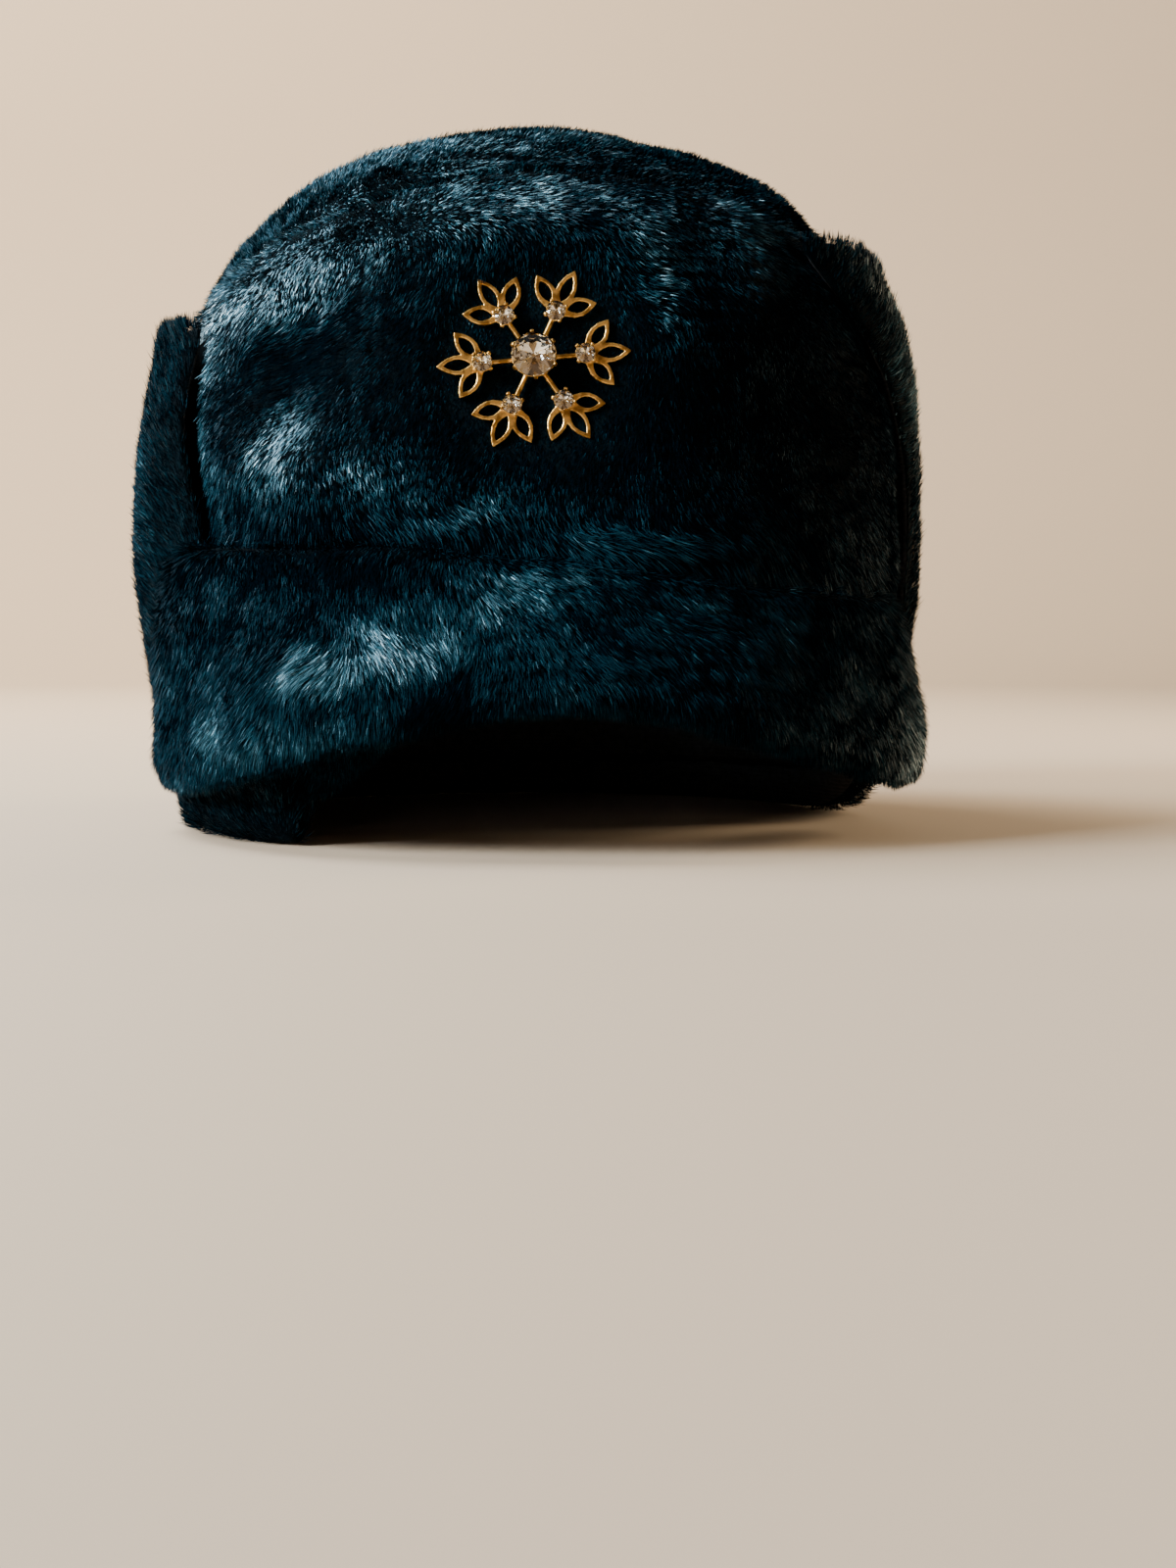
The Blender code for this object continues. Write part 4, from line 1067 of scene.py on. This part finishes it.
@dataclass
class Brooch:
    """The snowflake brooch: its softened metal frame and its cut stones."""

    grain: float = 0.00016  # voxel size at which the metal's edges are softened, in metres
    faces: int = 60000  # about how many triangles the metal keeps
    smoothing: int = 3  # how many times its edges are smoothed
    wear: float = 0.5  # how strongly, each time
    stone_nodes: tuple[str, ...] = ("centre_stone", *(f"small_stone_{n}" for n in range(1, 7)))
    seat: BroochSeat = field(default_factory=BroochSeat)  # way that the brooch faces

    def metal_mesh(self, node: Object) -> Mesh:
        """The frame's solid with its edges softened as by casting, plating and wear."""
        shape = bmesh.new()
        shape.from_mesh(node.data)
        bmesh.ops.remove_doubles(shape, verts=shape.verts, dist=METAL_WELD)
        mesh = bpy.data.meshes.new("snowflake_metal")
        shape.to_mesh(mesh)
        shape.free()
        holder = linked("holder", mesh)
        remesh = holder.modifiers.new("soften", "REMESH")
        remesh.mode = "VOXEL"
        remesh.voxel_size = self.grain
        smooth = holder.modifiers.new("wear", "SMOOTH")
        smooth.factor = self.wear
        smooth.iterations = self.smoothing
        graph = bpy.context.evaluated_depsgraph_get()
        count = len(holder.evaluated_get(graph).data.polygons) * 2
        fewer = holder.modifiers.new("fewer", "DECIMATE")
        fewer.ratio = min(1.0, self.faces / count)
        graph = bpy.context.evaluated_depsgraph_get()
        made = bpy.data.meshes.new_from_object(holder.evaluated_get(graph), depsgraph=graph)
        bpy.data.objects.remove(holder)
        made.materials.clear()
        made.name = "snowflake_metal"
        made.shade_smooth()
        return made

    def build(self, nodes: dict[str, Object]) -> None:
        """Places the metal and the stones."""
        mesh = self.metal_mesh(nodes["brooch_frame"])
        metal = place_object("snowflake_metal", mesh, [Gilt().material()])
        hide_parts("brooch_frame")
        metal.data.calc_loop_triangles()
        log.info("brooch: metal of %d triangles", len(metal.data.loop_triangles))
        finishes = CutGlass().materials()
        for name in self.stone_nodes:
            place, radius = self.seat.stone_place(nodes[name])
            mesh = CutStone().mesh(f"cut_{name}", radius)
            mesh.transform(place)
            stone = place_object(f"cut_{name}", mesh, finishes)
            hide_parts(name)
        log.info("brooch: %d cut stones", len(self.stone_nodes))


class SoftLight(NamedTuple):
    """A soft square light."""

    name: str
    place: Triple  # where it stands
    target: Triple  # point that it faces
    size: float  # length of its side in metres
    power: float  # its power in watts
    colour: Triple


HAT_MIDDLE = (0.0, 0.0, 0.10)
DAYLIGHT = (0.84, 0.94, 1.0)
LAMPLIGHT = (1.0, 0.84, 0.58)
WARM_WHITE = (1.0, 0.97, 0.83)


@dataclass
class Studio:
    """The camera, the pale sweep that the hat stands on, and the soft lights."""

    distance: float = 0.644  # camera's distance from the hat's axis, in metres
    eye_height: float = 0.055  # its height over the floor
    round_hat: float = -8.0  # azimuth that it looks from, in degrees
    pan: float = 1.24  # how far it looks to the right of the hat's axis, in degrees
    dip: float = 4.0  # how far it looks down, in degrees
    lens: float = 52.0  # its focal length in millimetres
    floor_colour: Triple = (0.32, 0.232, 0.158)
    floor_rings: tuple[float, ...] = (0.4, 1.0)  # radii of its rings
    floor_reach: float = 1.5  # radius where it curves up
    wall_curve: float = 0.6  # radius of that curve
    wall_height: float = 1.6
    sides: int = 96
    world_colour: Triple = (1.0, 0.93, 0.84)
    world_strength: float = 0.28
    lights: tuple[SoftLight, ...] = (
        SoftLight("window", (-1.02, -0.38, 0.62), HAT_MIDDLE, 0.50, 62.0, DAYLIGHT),
        SoftLight("window_top", (-0.55, 0.20, 0.95), HAT_MIDDLE, 0.45, 26.0, DAYLIGHT),
        SoftLight("warm_side", (0.92, 0.26, 0.30), HAT_MIDDLE, 0.40, 15.0, LAMPLIGHT),
        SoftLight("wall_wash", (-0.5, 0.70, 1.30), (-0.2, 2.1, 0.40), 0.60, 118.0, WARM_WHITE),
    )

    def aim(self, thing: Object, target: Vector) -> None:
        """Turns a light or camera to look at a point."""
        thing.rotation_euler = (target - thing.location).to_track_quat("-Z", "Y").to_euler()

    def set_camera(self) -> None:
        """Places the camera at the photograph's angle."""
        data = bpy.data.cameras.new("camera")
        data.lens = self.lens
        data.clip_start = 0.01
        camera = linked("camera", data)
        around = math.radians(self.round_hat)
        camera.location = (
            math.sin(around) * self.distance,
            -math.cos(around) * self.distance,
            self.eye_height,
        )
        ahead = math.radians(self.pan - self.round_hat)
        down = math.radians(self.dip)
        level = math.cos(down)
        view = Vector((math.sin(ahead) * level, math.cos(ahead) * level, -math.sin(down)))
        self.aim(camera, camera.location + view)
        bpy.context.scene.camera = camera

    def add_light(self, light: SoftLight) -> None:
        """Adds one of the lights."""
        data = bpy.data.lights.new(light.name, "AREA")
        data.size = light.size
        data.energy = light.power
        data.color = light.colour
        lamp = linked(light.name, data)
        lamp.location = light.place
        self.aim(lamp, Vector(light.target))

    def profile(self) -> list[Pair]:
        """Radius and height down the middle of the sweep: floor, curve and wall."""
        reach, curve = self.floor_reach, self.wall_curve
        turns = [math.radians(angle) for angle in range(0, 91, 10)]
        bend = [(reach + curve * math.sin(a), curve * (1.0 - math.cos(a))) for a in turns]
        flat = [(radius, 0.0) for radius in self.floor_rings]
        return flat + bend + [(reach + curve, self.wall_height)]

    def add_sweep(self) -> None:
        """Builds the round floor that curves up into a wall."""
        shape = bmesh.new()
        middle = shape.verts.new((0.0, 0.0, 0.0))
        rings = []
        for radius, height in self.profile():
            rings.append(ring_of(shape, radius, height, self.sides))
        for i in range(self.sides):
            j = (i + 1) % self.sides
            shape.faces.new((middle, rings[0][i], rings[0][j]))
            for inner, outer in zip(rings, rings[1:]):
                shape.faces.new((inner[i], outer[i], outer[j], inner[j]))
        mesh = bpy.data.meshes.new("sweep")
        shape.to_mesh(mesh)
        shape.free()
        mesh.shade_smooth()
        material, _, shader = principled("pale_floor")
        dial(shader, Base_Color=self.floor_colour, Roughness=0.8)
        mesh.materials.append(material)
        sweep = linked("sweep", mesh)

    def set_world(self) -> None:
        """A dim, warm surround."""
        world = bpy.data.worlds.new("surround")
        world.use_nodes = True
        sky = world.node_tree.nodes["Background"]
        dial(sky, Color=self.world_colour, Strength=self.world_strength)
        bpy.context.scene.world = world

    def build(self) -> None:
        """Builds the whole studio."""
        self.set_camera()
        self.add_sweep()
        self.set_world()
        for light in self.lights:
            self.add_light(light)
        log.info("studio: camera, sweep and four lights")


def main() -> None:
    """Loads the frame and builds the studio, the cloth and the brooch in order."""
    logging.basicConfig(level=logging.INFO, format="%(name)s: %(message)s")
    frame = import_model()
    Studio().build()
    brooch = Brooch()
    low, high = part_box("brooch_frame")
    SoftHat().build(frame["nodes"], (low + high) / 2.0)
    brooch.build(frame["nodes"])


if __name__ == "__main__":
    main()
